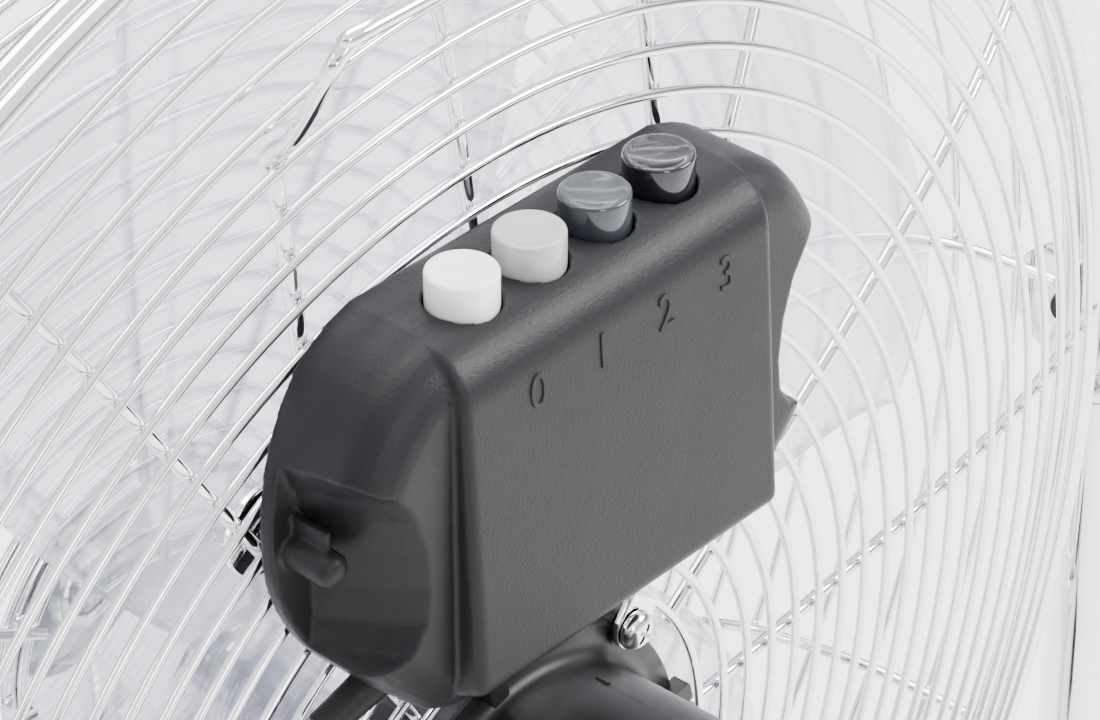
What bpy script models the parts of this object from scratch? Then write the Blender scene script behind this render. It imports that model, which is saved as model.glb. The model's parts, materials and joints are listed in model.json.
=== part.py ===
"""Chrome wire-caged desk fan with a four-button control box behind the cage.

Sizes are in millimetres and become metres through MM. The head is laid out in its own
terms: x across, d depth (0 at the row of buttons, growing toward the air outlet, which
faces -Y) and h height above the fan axis. head() turns those into the model's frame:
+Z up, origin on the surface the fan stands on, under the tilt axis.
"""
import math

import bmesh
import bpy
from mathutils import Vector

MM = 0.001
GAP = 0.3                      # clearance between pieces that touch
RUNNING_GAP = 0.05             # radial clearance of the shaft in its two bearings

# Whole fan
AXIS_HEIGHT = 280.0            # fan axis above the surface
PIVOT_DEPTH = 45.0             # depth of the tilt axis inside the head
CAGE_RADIUS = 228.5            # centre line of the two rims
RING_PITCH = 8.64              # spacing of the grille rings
RING_FIRST = 54.6              # radius of the innermost rear ring
RING_COUNT = 20
RING_WIRE = 2.1
RIM_WIRE = 5.0
RIB_COUNT = 12
RIB_WIRE = 3.0
HANDLE_RADIUS = 1.75
BLADE_RADIUS = 198.0
BLADE_COUNT = 5

# Rear grille dome
DOME_DEPTH = 9.9               # depth of the innermost ring
DOME_SLOPE = 9.8               # straight part of the rise to the last ring
DOME_CURL = 10.3               # part that grows toward the rim
REAR_RIM_DEPTH = 36.0
FRONT_RIM_DEPTH = 42.0

# Front grille: every third wire of the real pitch
FRONT_FIRST = 38.0
FRONT_FACE_RINGS = 7
FRONT_SKIP = 3
FRONT_FACE_DEPTH = 118.0
FRONT_FACE_DROP = 14.0
FRONT_SIDE_RINGS = ((216.0, 92.5), (226.5, 68.0))
RIB_TURN = -1.8                # degrees the rear ribs are turned from the level
FRONT_RIB_TURN = -2.5          # and the front ones

# Motor
MOTOR_RADIUS = 40.0
FLANGE_RADIUS = 47.5
FLANGE_DEPTH = 10.0
FLANGE_THICK = 2.5
COVER_LENGTH = 65.0
COVER_WALL = 2.5
BELL_FRONT = 38.0
SCREW_CIRCLE = 48.0
SCREW_TURNS = (39, 129, 219, 309)
LUG_TURN = 38                  # degrees from each screw round to its small lug
SHAFT_RADIUS = 4.0
HUB_FIT = 0.4                  # between the shaft and the hub or the spinner on it
BEARING_WALL = 2.0
BEARING_LENGTH = 9.0

# Control box
BUTTON_RADIUS = 7.0
BUTTON_PITCH = 18.1
BUTTON_TOP = 154.4
BOX_TOP = 148.0
BLOCK_HALF = 43.0              # half width of the raised middle block
BOX_WALL = 2.5
SHOULDER_DEPTH = -12.5         # rear surface of the two shoulders
FLANGE_RIM = 3.4               # thickness of the rim around the shoulders
BOX_OUTLINE = (                # right half of the box against the grille: x, h
    (41.3, 148.0), (48.0, 145.8), (52.6, 143.4), (56.8, 140.0), (61.3, 134.0),
    (65.2, 126.4), (67.6, 118.0), (68.7, 109.6), (68.6, 102.0), (66.6, 94.4),
    (63.2, 87.2), (58.0, 80.0), (50.2, 72.2), (42.4, 65.0), (34.0, 60.0))
POCKET_X = 58.0                # side pocket: inner wall, lower and upper ends
POCKET_LOW = 84.0
POCKET_HIGH = 126.5
LEAD_RADIUS = 2.6              # the motor's lead, from the box to the front shell
LEAD_ROUTE = (                 # x, d, h: out through the grille's rings, then down
    (14.0, 4.0, 74.9), (14.0, 10.0, 74.9), (14.0, 16.0, 74.2), (14.0, 21.5, 70.5),
    (14.0, 24.2, 63.5), (14.0, 24.6, 54.0), (14.0, 24.6, 46.0), (14.0, 24.6, 39.0))
CLAMP_HALF = 72.0              # the chrome clamp bar inside the cage: half length
CLAMP_END = 9.5                # and the radius of its round ends
BAR_REACH = 137.0              # farthest point of the clamp bar from the fan axis
PEG_X = 63.2
PEG_HEIGHT = 107.5
PEG_RADIUS = 3.5

# Stand
TUBE_RADIUS = 8.0
TUBE_WALL = 1.2
ARM_X = 246.0
YOKE_BEND = 48.0
BAR_X = 150.0
BAR_HEIGHT = 13.5
BAR_END = 130.0                # each foot bar runs this far forward and back
FOOT_WALL = 3.5                # rubber round the bar's end
FOOT_SLEEVE = 26.0             # length of bar that each foot covers
FOOT_END = 3.0                 # rubber beyond the bar's end
STUD_RADIUS = 4.0
KNOB_RADIUS = 18.0
KNOB_LOBES = 6

# Cord
CORD_DIAMETER = 6.4
COIL_CENTRE = (64.0, 83.8)     # on the surface behind the crossbar
COIL_MEAN_RADIUS = 35.2
COIL_COLUMNS = 3               # turns side by side
COIL_LAYERS = 2                # turns one above the other
GLAND_START = (45.0, -1.4, 79.6)   # where the cord's way out of the box begins
GLAND_WAY = (0.86, 0.20, -0.47)
CORD_ROUTE = (                 # x, y, z from the gland down to the coil
    (64.4, 41.9, 349.0), (69.9, 40.6, 346.0), (81.0, 40.2, 336.4), (90.4, 41.6, 320.0),
    (96.0, 43.4, 299.0), (99.4, 44.6, 273.0), (101.6, 44.8, 243.0),
    (103.0, 43.2, 205.0), (104.2, 39.6, 165.0), (105.2, 35.2, 125.0), (105.8, 31.2, 90.0),
    (106.0, 29.2, 62.0), (106.0, 29.5, 42.0), (106.0, 32.5, 21.2),
    (105.9, 40.2, 10.7), (105.7, 50.0, 5.0), (105.6, 59.8, 3.3))
TAIL_ROUTE = (                 # from the coil's top layer to the plug
    (40.1, 125.4, 9.8), (29.0, 125.0, 10.4), (18.0, 123.0, 12.4), (7.0, 119.0, 15.4),
    (-4.0, 115.0, 17.5), (-15.0, 113.4, 18.0), (-24.0, 113.4, 18.0))
PLUG_RADIUS = 18.0
PLUG_LENGTH = 52.0


def clear_scene():
    for item in list(bpy.data.objects):
        bpy.data.objects.remove(item, do_unlink=True)


# ------------------------------------------------------------------ frame and materials

def world(x, y, z):
    return Vector((x, y, z)) * MM


def head(x, d, h):
    return Vector((x, PIVOT_DEPTH - d, AXIS_HEIGHT + h)) * MM


def polar(radius, degrees, d):
    turn = math.radians(degrees)
    return head(radius * math.cos(turn), d, radius * math.sin(turn))


def dome_depth(radius):
    """Depth of the rear grille's wire at a radius."""
    last = RING_FIRST + RING_PITCH * (RING_COUNT - 1)
    t = max(0.0, (radius - RING_FIRST) / (last - RING_FIRST))
    return DOME_DEPTH + DOME_SLOPE * t + DOME_CURL * t ** 4


def front_depth(radius):
    """Depth of the front grille's face at a radius."""
    return FRONT_FACE_DEPTH - FRONT_FACE_DROP * (radius / 194.0) ** 3


def base_depth(h):
    """Depth of the control box's open side, which follows the dome."""
    return 15.05 - 0.0765 * (BOX_TOP - h)


def make_material(name, colour, roughness, metallic=0.0, alpha=1.0):
    material = bpy.data.materials.new(name)
    material.use_nodes = True
    shader = material.node_tree.nodes["Principled BSDF"]
    shader.inputs["Base Color"].default_value = (*colour, 1.0)
    shader.inputs["Roughness"].default_value = roughness
    shader.inputs["Metallic"].default_value = metallic
    shader.inputs["Alpha"].default_value = alpha
    return material


MATERIALS = {}


def make_materials():
    table = {
        "chrome": ((0.82, 0.83, 0.85), 0.12, 1.0, 1.0),
        "black_plastic": ((0.035, 0.035, 0.038), 0.5, 0.0, 1.0),
        "black_paint": ((0.03, 0.03, 0.033), 0.4, 0.3, 1.0),
        "clear_plastic": ((0.78, 0.78, 0.92), 0.1, 0.0, 0.35),
        "white_plastic": ((0.88, 0.88, 0.88), 0.25, 0.0, 1.0),
        "light_grey_plastic": ((0.5, 0.5, 0.51), 0.25, 0.0, 1.0),
        "grey_plastic": ((0.13, 0.14, 0.16), 0.2, 0.0, 1.0),
        "dark_plastic": ((0.02, 0.02, 0.035), 0.15, 0.0, 1.0),
        "steel": ((0.5, 0.5, 0.52), 0.35, 1.0, 1.0),
        "copper": ((0.6, 0.28, 0.12), 0.4, 1.0, 1.0),
        "bronze": ((0.5, 0.35, 0.18), 0.45, 1.0, 1.0),
        "brass": ((0.7, 0.55, 0.3), 0.3, 1.0, 1.0),
        "rubber": ((0.025, 0.025, 0.025), 0.7, 0.0, 1.0),
        "nylon": ((0.75, 0.75, 0.72), 0.5, 0.0, 1.0),
    }
    for name, (colour, roughness, metallic, alpha) in table.items():
        MATERIALS[name] = make_material(name, colour, roughness, metallic, alpha)


# ------------------------------------------------------------------ mesh helpers

PARENTS = {}


def add_parent(name, place, parent=None):
    empty = bpy.data.objects.new(name, None)
    bpy.context.collection.objects.link(empty)
    empty["world"] = tuple(place)
    set_place(empty, place, parent)
    PARENTS[name] = empty


def set_place(item, place, parent):
    start = Vector((0.0, 0.0, 0.0))
    if parent:
        item.parent = PARENTS[parent]
        start = Vector(PARENTS[parent]["world"])
    item.location = place - start


def add_mesh(name, verts, faces, material=None, parent=None, origin=None, smooth=True):
    """An object from points in the model's frame, with its faces pointing outwards."""
    place = origin if origin is not None else Vector((0.0, 0.0, 0.0))
    shape = bmesh.new()
    corners = [shape.verts.new(point - place) for point in verts]
    for face in faces:
        shape.faces.new([corners[i] for i in face])
    bmesh.ops.recalc_face_normals(shape, faces=shape.faces[:])
    mesh = bpy.data.meshes.new(name)
    shape.to_mesh(mesh)
    shape.free()
    if smooth:
        mesh.shade_smooth()
        mesh.set_sharp_from_angle(angle=math.radians(35))
    item = bpy.data.objects.new(name, mesh)
    bpy.context.collection.objects.link(item)
    if material:
        mesh.materials.append(MATERIALS[material])
    set_place(item, place, parent)
    return item


def guide(item):
    """Marks a cutter or a blank that is only there for a boolean."""
    item.hide_render = True
    item.display_type = "WIRE"
    return item


def combine(item, other, operation):
    step = item.modifiers.new(operation.title() + " " + other.name, "BOOLEAN")
    step.operation = operation
    step.object = guide(other)
    step.solver = "EXACT"


def cut(item, other):
    combine(item, other, "DIFFERENCE")


def join(item, other):
    combine(item, other, "UNION")


def turned_faces(rows, columns, on_axis):
    """Faces of a closed profile turned about an axis; on_axis rows have one point."""
    faces = []
    for i in range(rows):
        j = (i + 1) % rows
        for k in range(columns):
            m = (k + 1) % columns
            a, b = (i, k), (i, m)
            c, e = (j, m), (j, k)
            if on_axis[i] and on_axis[j]:
                continue
            if on_axis[i]:
                faces.append(((i, 0), c, e))
            elif on_axis[j]:
                faces.append((a, b, (j, 0)))
            else:
                faces.append((a, b, c, e))
    return faces


def turned(name, profile, place, segments=24, phase=0.0, **options):
    """Turns a closed (radius, position) profile; place(radius, angle, position)."""
    verts, index, on_axis = [], {}, []
    for i, (radius, position) in enumerate(profile):
        on_axis.append(radius < 1e-6)
        for k in range(1 if on_axis[i] else segments):
            index[(i, k)] = len(verts)
            verts.append(place(radius, 2 * math.pi * (k + phase) / segments, position))
    faces = turned_faces(len(profile), segments, on_axis)
    faces = [[index[corner] for corner in face] for face in faces]
    return add_mesh(name, verts, faces, **options)


def about_fan_axis(radius, angle, d):
    return head(radius * math.cos(angle), d, radius * math.sin(angle))


def about_depth_line(x, h):
    """Turning about a line along the depth through x, h."""
    return lambda radius, angle, d: head(
        x + radius * math.cos(angle), d, h + radius * math.sin(angle))


def about_upright(x, y):
    return lambda radius, angle, z: world(
        x + radius * math.cos(angle), y + radius * math.sin(angle), z)


def about_tilt_axis(radius, angle, x):
    return world(x, radius * math.cos(angle), AXIS_HEIGHT + radius * math.sin(angle))


def prism(name, outline, start, end, place, **options):
    """Extrudes an outline; start and end are numbers or functions of its second value."""
    low = start if callable(start) else lambda second: start
    high = end if callable(end) else lambda second: end
    verts = [place(a, low(b), b) for a, b in outline]
    verts += [place(a, high(b), b) for a, b in outline]
    count = len(outline)
    faces = [list(range(count)), list(range(count, 2 * count))]
    for i in range(count):
        j = (i + 1) % count
        faces.append([i, j, count + j, count + i])
    return add_mesh(name, verts, faces, **options)


def across(first, x, second):
    """Place for a prism drawn in depth and height and extruded across."""
    return head(x, first, second)


def box(name, low, high, place=world, **options):
    (x0, y0, z0), (x1, y1, z1) = low, high
    outline = [(x0, z0), (x1, z0), (x1, z1), (x0, z1)]
    return prism(name, outline, y0, y1, place, **options)


def arc(centre, radius, start, end, steps):
    points = []
    for i in range(steps + 1):
        turn = math.radians(start + (end - start) * i / steps)
        points.append((centre[0] + radius * math.cos(turn),
                       centre[1] + radius * math.sin(turn)))
    return points


def mirrored(half):
    """Closes a right half outline with its mirror image."""
    return list(half) + [(-x, h) for x, h in reversed(half)]


def bevel_edges(item, chosen, width, segments):
    """Rounds the edges for which chosen(first, second) is true."""
    shape = bmesh.new()
    shape.from_mesh(item.data)
    edges = [e for e in shape.edges if chosen(e.verts[0].co, e.verts[1].co)]
    bmesh.ops.bevel(shape, geom=edges, offset=width * MM, segments=segments,
                    profile=0.5, affect="EDGES", clamp_overlap=True)
    shape.to_mesh(item.data)
    shape.free()


def smooth_route(points, spacing):
    """Points along a Catmull-Rom curve through the route, spacing millimetres apart."""
    route = [Vector(p) for p in points]
    dense = []
    for i in range(len(route) - 1):
        before = route[max(i - 1, 0)]
        after = route[min(i + 2, len(route) - 1)]
        for k in range(24):
            dense.append(catmull(before, route[i], route[i + 1], after, k / 24))
    dense.append(route[-1])
    length = sum((b - a).length for a, b in zip(dense, dense[1:]))
    step = length / max(1, round(length / spacing))
    result, travelled, target = [dense[0]], 0.0, step
    for a, b in zip(dense, dense[1:]):
        part = (b - a).length
        while travelled + part >= target - 1e-6 and target < length - 1e-6:
            result.append(a.lerp(b, (target - travelled) / part))
            target += step
        travelled += part
    result.append(dense[-1])
    return result


def catmull(p0, p1, p2, p3, t):
    return 0.5 * (2 * p1 + (p2 - p0) * t + (2 * p0 - 5 * p1 + 4 * p2 - p3) * t * t
                  + (3 * p1 - p0 - 3 * p2 + p3) * t ** 3)


def wire(name, points, radius, material, parent=None, resolution=2):
    """A round wire or cord as a bevelled curve through points in millimetres."""
    start = Vector(PARENTS[parent]["world"]) if parent else Vector((0.0, 0.0, 0.0))
    curve = bpy.data.curves.new(name, "CURVE")
    curve.dimensions = "3D"
    curve.bevel_depth = radius * MM
    curve.bevel_resolution = resolution
    curve.use_fill_caps = True
    curve.materials.append(MATERIALS[material])
    spline = curve.splines.new("POLY")
    spline.points.add(len(points) - 1)
    for knot, point in zip(spline.points, points):
        knot.co = (*(point * MM - start), 1.0)
    item = bpy.data.objects.new(name, curve)
    bpy.context.collection.objects.link(item)
    if parent:
        item.parent = PARENTS[parent]
    return item


def hollow_tube(name, path, sides, **options):
    """The stand's tube along a planar path: outer wall, bore and open ends."""
    verts = []
    for i, point in enumerate(path):
        before, after = path[max(i - 1, 0)], path[min(i + 1, len(path) - 1)]
        along = (after - before).normalized()
        across_y = Vector((0.0, 1.0, 0.0))
        if abs(along.y) > 0.9:
            across_y = Vector((0.0, 0.0, 1.0))
        side = along.cross(across_y).normalized()
        for radius in (TUBE_RADIUS, TUBE_RADIUS - TUBE_WALL):
            for k in range(sides):
                turn = 2 * math.pi * k / sides
                offset = side * math.cos(turn) + across_y * math.sin(turn)
                verts.append((point + offset * radius) * MM)
    faces, rows = [], len(path)
    for i in range(rows - 1):
        for wall in range(2):
            for k in range(sides):
                a = (2 * i + wall) * sides + k
                b = (2 * i + wall) * sides + (k + 1) % sides
                faces.append([a, b, b + 2 * sides, a + 2 * sides])
    for row in (0, 2 * (rows - 1) * sides):
        for k in range(sides):
            m = (k + 1) % sides
            faces.append([row + k, row + m, row + sides + m, row + sides + k])
    return add_mesh(name, verts, faces, **options)


# ------------------------------------------------------------------ wire grilles

def wire_grille(name, rings, rib_turn, parent):
    """Rings (radius, depth, wire) joined by straight ribs into one welded mesh."""
    bay = 360.0 / RIB_COUNT
    verts, index = [], {}
    for k, (radius, depth, gauge) in enumerate(rings):
        for edge, side in (("in", -1), ("out", 1)):
            r = radius + side * gauge / 2
            half = math.degrees(math.asin(RIB_WIRE / 2 / r))
            for face, shift in (("rear", -1), ("front", 1)):
                for rib in range(RIB_COUNT):
                    start = rib * bay + rib_turn
                    for spot, turn in ((0, start - half), (1, start + half),
                                       (2, start + bay / 2)):
                        index[(k, edge, face, rib, spot)] = len(verts)
                        verts.append(polar(r, turn, depth + shift * gauge / 2))
    faces = []
    last = len(rings) - 1
    for k in range(len(rings)):
        stops = [(rib, spot) for rib in range(RIB_COUNT) for spot in range(3)]
        for a, b in zip(stops, stops[1:] + stops[:1]):
            for face in ("rear", "front"):
                faces.append([index[(k, "in", face, *a)], index[(k, "out", face, *a)],
                              index[(k, "out", face, *b)], index[(k, "in", face, *b)]])
            for edge in ("in", "out"):
                joined = a[1] == 0 and (k > 0 if edge == "in" else k < last)
                if not joined:
                    faces.append([index[(k, edge, "rear", *a)], index[(k, edge, "rear", *b)],
                                  index[(k, edge, "front", *b)],
                                  index[(k, edge, "front", *a)]])
    for k in range(last):
        for rib in range(RIB_COUNT):
            near = {(f, s): index[(k, "out", f, rib, s)] for f in ("rear", "front")
                    for s in (0, 1)}
            far = {(f, s): index[(k + 1, "in", f, rib, s)] for f in ("rear", "front")
                   for s in (0, 1)}
            for face in ("rear", "front"):
                faces.append([near[(face, 0)], near[(face, 1)], far[(face, 1)],
                              far[(face, 0)]])
            for spot in (0, 1):
                faces.append([near[("rear", spot)], far[("rear", spot)],
                              far[("front", spot)], near[("front", spot)]])
    return add_mesh(name, verts, faces, "chrome", parent, smooth=False)


def build_grilles():
    rings = []
    for k in range(RING_COUNT):
        radius = RING_FIRST + k * RING_PITCH
        rings.append((radius, dome_depth(radius), RING_WIRE))
    rings.append((CAGE_RADIUS, REAR_RIM_DEPTH, RIM_WIRE))
    rear = wire_grille("rear_grille", rings, RIB_TURN, "head")
    for number, turn in enumerate(SCREW_TURNS):
        join(rear, eyelet_blank(number, turn))
    for number, turn in enumerate(SCREW_TURNS):
        cut(rear, eyelet_hole(number, turn))

    rings = []
    for k in range(FRONT_FACE_RINGS):
        radius = FRONT_FIRST + FRONT_SKIP * k * RING_PITCH
        rings.append((radius, front_depth(radius), RING_WIRE))
    rings += [(radius, depth, RING_WIRE) for radius, depth in FRONT_SIDE_RINGS]
    rings.append((CAGE_RADIUS, FRONT_RIM_DEPTH, RIM_WIRE))
    wire_grille("front_grille", rings, FRONT_RIB_TURN, "head")

    turned("badge_plate", [(0, 119.6), (41.0, 119.4), (42.0, 120.2), (40.0, 121.6),
                           (0, 122.4)], about_fan_axis, material="chrome", parent="head")
    for number, turn in enumerate((30, 90, 150, 210, 270, 330)):
        rim_clip("rim_clip_%d" % (number + 1), turn)


def eyelet_blank(number, turn):
    """A flat eye that reaches from the innermost ring in to a motor screw."""
    outline = arc((SCREW_CIRCLE, 0.0), 4.7, 90, 270, 6)
    outline += [(RING_FIRST, -4.7), (RING_FIRST, 4.7)]
    return prism("eyelet_blank_%d" % number, outline, 7.5, 9.5, turned_frame(turn),
                 smooth=False)


def eyelet_hole(number, turn):
    outline = arc((SCREW_CIRCLE, 0.0), 2.3, 0, 330, 11)
    return prism("eyelet_hole_%d" % number, outline, 5.0, 12.0, turned_frame(turn),
                 smooth=False)


def turned_frame(degrees):
    """Place for a prism drawn radially and sideways at an angle round the fan axis."""
    turn = math.radians(degrees)
    return lambda out, d, side: head(
        out * math.cos(turn) - side * math.sin(turn), d,
        out * math.sin(turn) + side * math.cos(turn))


def rim_clip(name, turn):
    """A channel that holds the two rims together from outside."""
    rear = REAR_RIM_DEPTH - RIM_WIRE / 2 - GAP
    front = FRONT_RIM_DEPTH + RIM_WIRE / 2 + GAP
    inside = CAGE_RADIUS + RIM_WIRE / 2 + GAP
    lip = CAGE_RADIUS - 1.0
    wall = 2.0
    outline = [(rear - wall, lip), (rear, lip), (rear, inside), (front, inside),
               (front, lip), (front + wall, lip), (front + wall, inside + wall),
               (rear - wall, inside + wall)]
    frame = turned_frame(turn)
    prism(name, outline, -9.0, 9.0, lambda d, side, out: frame(out, d, side),
          material="chrome", parent="head", smooth=False)


# ------------------------------------------------------------------ carrying handle

def build_handle():
    """An inverted U of wire: welded inside the rings, out between two of them, up."""
    half = [(49.0, 137.0), (49.3, 150.0), (49.6, 164.0), (49.8, 175.0)]
    inner = RING_WIRE / 2 + HANDLE_RADIUS + 0.4
    leg = [(x, dome_depth(math.hypot(x, h)) + inner, h) for x, h in half]
    leg += [(49.8, 25.6, 177.2), (49.8, 23.4, 180.2), (49.8, 19.6, 183.6),
            (49.8, 15.4, 190.2), (49.8, 11.9, 196.6)]
    for x, rise in arc((41.0, 0.0), 9.0, 20, 90, 4):
        leg.append((x, 9.8 - rise / 4, 199.5 + rise * 0.87))
    path = leg + [(-x, d, h) for x, d, h in reversed(leg)]
    points = [head(*p) / MM for p in path]
    wire("handle", points, HANDLE_RADIUS, "chrome", "head", 2)


# ------------------------------------------------------------------ motor and impeller

def build_motor():
    rear_end = FLANGE_DEPTH - COVER_LENGTH
    wall = COVER_WALL
    inner = MOTOR_RADIUS - wall
    bearing = SHAFT_RADIUS + BEARING_WALL
    seat = bearing + GAP
    profile = [(0, rear_end)]
    profile += [(MOTOR_RADIUS - 9 + a, rear_end + 9 + b)
                for a, b in arc((0, 0), 9.0, -90, 0, 4)]
    profile += [(MOTOR_RADIUS, FLANGE_DEPTH - 4), (MOTOR_RADIUS + 1.4, FLANGE_DEPTH - 1),
                (MOTOR_RADIUS + 4, FLANGE_DEPTH), (FLANGE_RADIUS, FLANGE_DEPTH),
                (FLANGE_RADIUS, FLANGE_DEPTH + FLANGE_THICK),
                (inner, FLANGE_DEPTH + FLANGE_THICK), (inner, rear_end + 9),
                (inner - 6.0, rear_end + wall), (seat + 2.0, rear_end + wall),
                (seat + 2.0, rear_end + 12), (seat, rear_end + 12),
                (seat, rear_end + wall),
                (0, rear_end + wall)]
    cover = turned("motor_cover", profile, about_fan_axis, 24, material="black_paint",
                   parent="head")
    for number, turn in enumerate(SCREW_TURNS):
        x, h = spot(SCREW_CIRCLE, turn)
        ear = turned("cover_ear_%d" % number, [(0, 9.8), (4.8, 9.8), (4.8, 12.3), (0, 12.3)],
                     about_depth_line(x, h), 8, 0.37)
        join(cover, ear)
        lug = prism("cover_lug_%d" % number, [(44.0, -2.4), (49.8, -2.4), (49.8, 2.4),
                                              (44.0, 2.4)], 7.0, 11.0,
                    turned_frame(turn + LUG_TURN), smooth=False)
        join(cover, lug)
    for number, turn in enumerate(SCREW_TURNS):
        x, h = spot(SCREW_CIRCLE, turn)
        cut(cover, turned("cover_hole_%d" % number, [(0, 6), (2.3, 6), (2.3, 15), (0, 15)],
                          about_depth_line(x, h), 8, 0.21))
        pan_screw("motor_screw_%d" % (number + 1), x, h)

    bell_rear = FLANGE_DEPTH + FLANGE_THICK + GAP
    bell = turned("motor_bell", [(seat, BELL_FRONT + 5), (12.0, BELL_FRONT + 5),
                                 (12.5, BELL_FRONT), (38.0, BELL_FRONT), (44.0, BELL_FRONT - 6),
                                 (44.5, bell_rear + 4), (FLANGE_RADIUS - 0.3, bell_rear + 4),
                                 (FLANGE_RADIUS - 0.3, bell_rear), (inner, bell_rear),
                                 (inner, BELL_FRONT - 7), (34.0, BELL_FRONT - wall),
                                 (12.0, BELL_FRONT - wall), (10.0, BELL_FRONT - 6),
                                 (seat, BELL_FRONT - 6)],
                  about_fan_axis, 24, material="black_paint", parent="head")
    for number, turn in enumerate(SCREW_TURNS):
        x, h = spot(SCREW_CIRCLE, turn)
        join(bell, turned("bell_ear_%d" % number,
                          [(0, bell_rear + 0.2), (5.0, bell_rear + 0.2),
                           (5.0, bell_rear + 8), (0, bell_rear + 8)],
                          about_depth_line(x, h), 10, 0.23))
    for number, turn in enumerate(SCREW_TURNS):
        x, h = spot(SCREW_CIRCLE, turn)
        cut(bell, turned("bell_hole_%d" % number, [(0, 10), (2.3, 10), (2.3, 24), (0, 24)],
                         about_depth_line(x, h), 8, 0.21))

    bore = SHAFT_RADIUS + RUNNING_GAP
    cut(bell, turned("lead_hole_low", [(0, 36), (LEAD_RADIUS + 0.4, 36),
                                       (LEAD_RADIUS + 0.4, 52), (0, 52)],
                     about_lead_end, 10, 0.37))

    turned("bearing_rear", [(bore, rear_end + 3), (bearing, rear_end + 3),
                            (bearing, rear_end + 3 + BEARING_LENGTH),
                            (bore, rear_end + 3 + BEARING_LENGTH)],
           about_fan_axis, 24, material="bronze", parent="head")
    turned("bearing_front", [(bore, BELL_FRONT - 6), (bearing, BELL_FRONT - 6),
                             (bearing, BELL_FRONT + 5), (bore, BELL_FRONT + 5)],
           about_fan_axis, 24, material="bronze", parent="head")
    turned("stator_core", [(19.2, -18), (inner - GAP, -18), (inner - GAP, 14), (19.2, 14)],
           about_fan_axis, 24, material="steel", parent="head")
    turned("winding_rear", [(22, -29), (31, -31), (33, -26), (33, -18.3), (22, -18.3)],
           about_fan_axis, 20, material="copper", parent="head")
    turned("winding_front", [(22, 14.3), (33, 14.3), (33, 21), (31, 25), (22, 24)],
           about_fan_axis, 20, material="copper", parent="head")

    place = head(0, 0, 0)
    turned("shaft", [(0, rear_end + 4), (SHAFT_RADIUS, rear_end + 4),
                     (SHAFT_RADIUS, 88), (0, 88)], about_fan_axis, 24, material="steel",
           parent="rotor", origin=place)
    turned("rotor_core", [(SHAFT_RADIUS + GAP, -18), (18.8, -18), (18.8, 14),
                          (SHAFT_RADIUS + GAP, 14)], about_fan_axis, 20,
           material="steel", parent="rotor", origin=place)


def spot(radius, degrees):
    turn = math.radians(degrees)
    return radius * math.cos(turn), radius * math.sin(turn)


def pan_screw(name, x, h):
    """A pan-head screw through the grille's eye and the cover's ear into the bell."""
    turned(name, [(0, 4.2), (2.2, 4.4), (4.0, 5.4), (4.4, 7.2), (1.9, 7.2), (1.9, 19.0),
                  (0, 20.0)], about_depth_line(x, h), 10, material="chrome",
           parent="head")


def blade_point(turn, s, t):
    """Middle surface of a blade: s across (-1 to 1), t from root to tip (0 to 1)."""
    tip = BLADE_RADIUS - 24.0 * s * s * s * s
    radius = 30.0 + (tip - 30.0) * t
    width = 0.44 + 0.05 * math.sin(math.pi * t)
    sweep = 0.22 * t * t
    angle = turn + sweep + s * width * (1.0 - 0.12 * t)
    pitch = 14.0 + 8.0 * math.sin(math.pi * min(1.0, t + 0.1))
    return radius, angle, 70.0 - s * pitch - 3.0 * t


def build_impeller():
    """Hub and five broad blades moulded as one clear piece."""
    bore = SHAFT_RADIUS + HUB_FIT
    hub = [(bore, 48), (bore + 4.6, 48), (bore + 4.6, 78), (26, 78), (26, 56), (29, 54),
           (31.5, 56), (31.5, 82), (28, 86), (bore, 86)]
    place = head(0, 0, 0)
    impeller = turned("impeller", hub, about_fan_axis, 20, material="clear_plastic",
                      parent="rotor", origin=place)
    across_steps, out_steps, thick = 5, 4, 1.0
    for blade in range(BLADE_COUNT):
        turn = 2 * math.pi * blade / BLADE_COUNT
        verts = []
        for side in (-1, 1):
            for i in range(across_steps + 1):
                for k in range(out_steps + 1):
                    radius, angle, d = blade_point(turn, 2 * i / across_steps - 1,
                                                   k / out_steps)
                    verts.append(about_fan_axis(radius, angle, d + side * thick))
        row = out_steps + 1
        sheet = (across_steps + 1) * row
        faces = []
        for i in range(across_steps):
            for k in range(out_steps):
                a = i * row + k
                faces.append([a, a + 1, a + row + 1, a + row])
                faces.append([sheet + a, sheet + a + 1, sheet + a + row + 1, sheet + a + row])
        border = [k for k in range(row)]
        border += [i * row + out_steps for i in range(1, across_steps + 1)]
        border += [across_steps * row + k for k in range(out_steps - 1, -1, -1)]
        border += [i * row for i in range(across_steps - 1, 0, -1)]
        for a, b in zip(border, border[1:] + border[:1]):
            faces.append([a, b, sheet + b, sheet + a])
        join(impeller, add_mesh("blade_blank_%d" % blade, verts, faces))
    turned("spinner", [(0, 98), (6, 97.5), (12, 94), (14, 89), (14, 86.3), (bore, 86.3),
                       (bore, 90), (0, 90)], about_fan_axis, 16, material="chrome",
           parent="rotor", origin=place)


# ------------------------------------------------------------------ control box

def scaled_outline(inset):
    """The box's outline drawn in by a wall."""
    middle = 106.0
    return mirrored([(x * (68.7 - inset) / 68.7,
                      middle + (h - middle) * (45.0 - inset) / 45.0)
                     for x, h in BOX_OUTLINE])


def block_profile(inset, front):
    """Side view of the raised block: depth and height."""
    top, radius = BOX_TOP - inset, 12.0 - inset
    points = [(front, top)]
    points += arc((-3.5, BOX_TOP - 12.0), radius, 90, 180, 5)
    points += [(-18.7 + inset, 77.0)]
    points += arc((-15.8 + inset, 77.0 + inset / 2), 2.9, 190, 250, 2)
    points += [(front, 57.0 + inset)]
    return points


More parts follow.
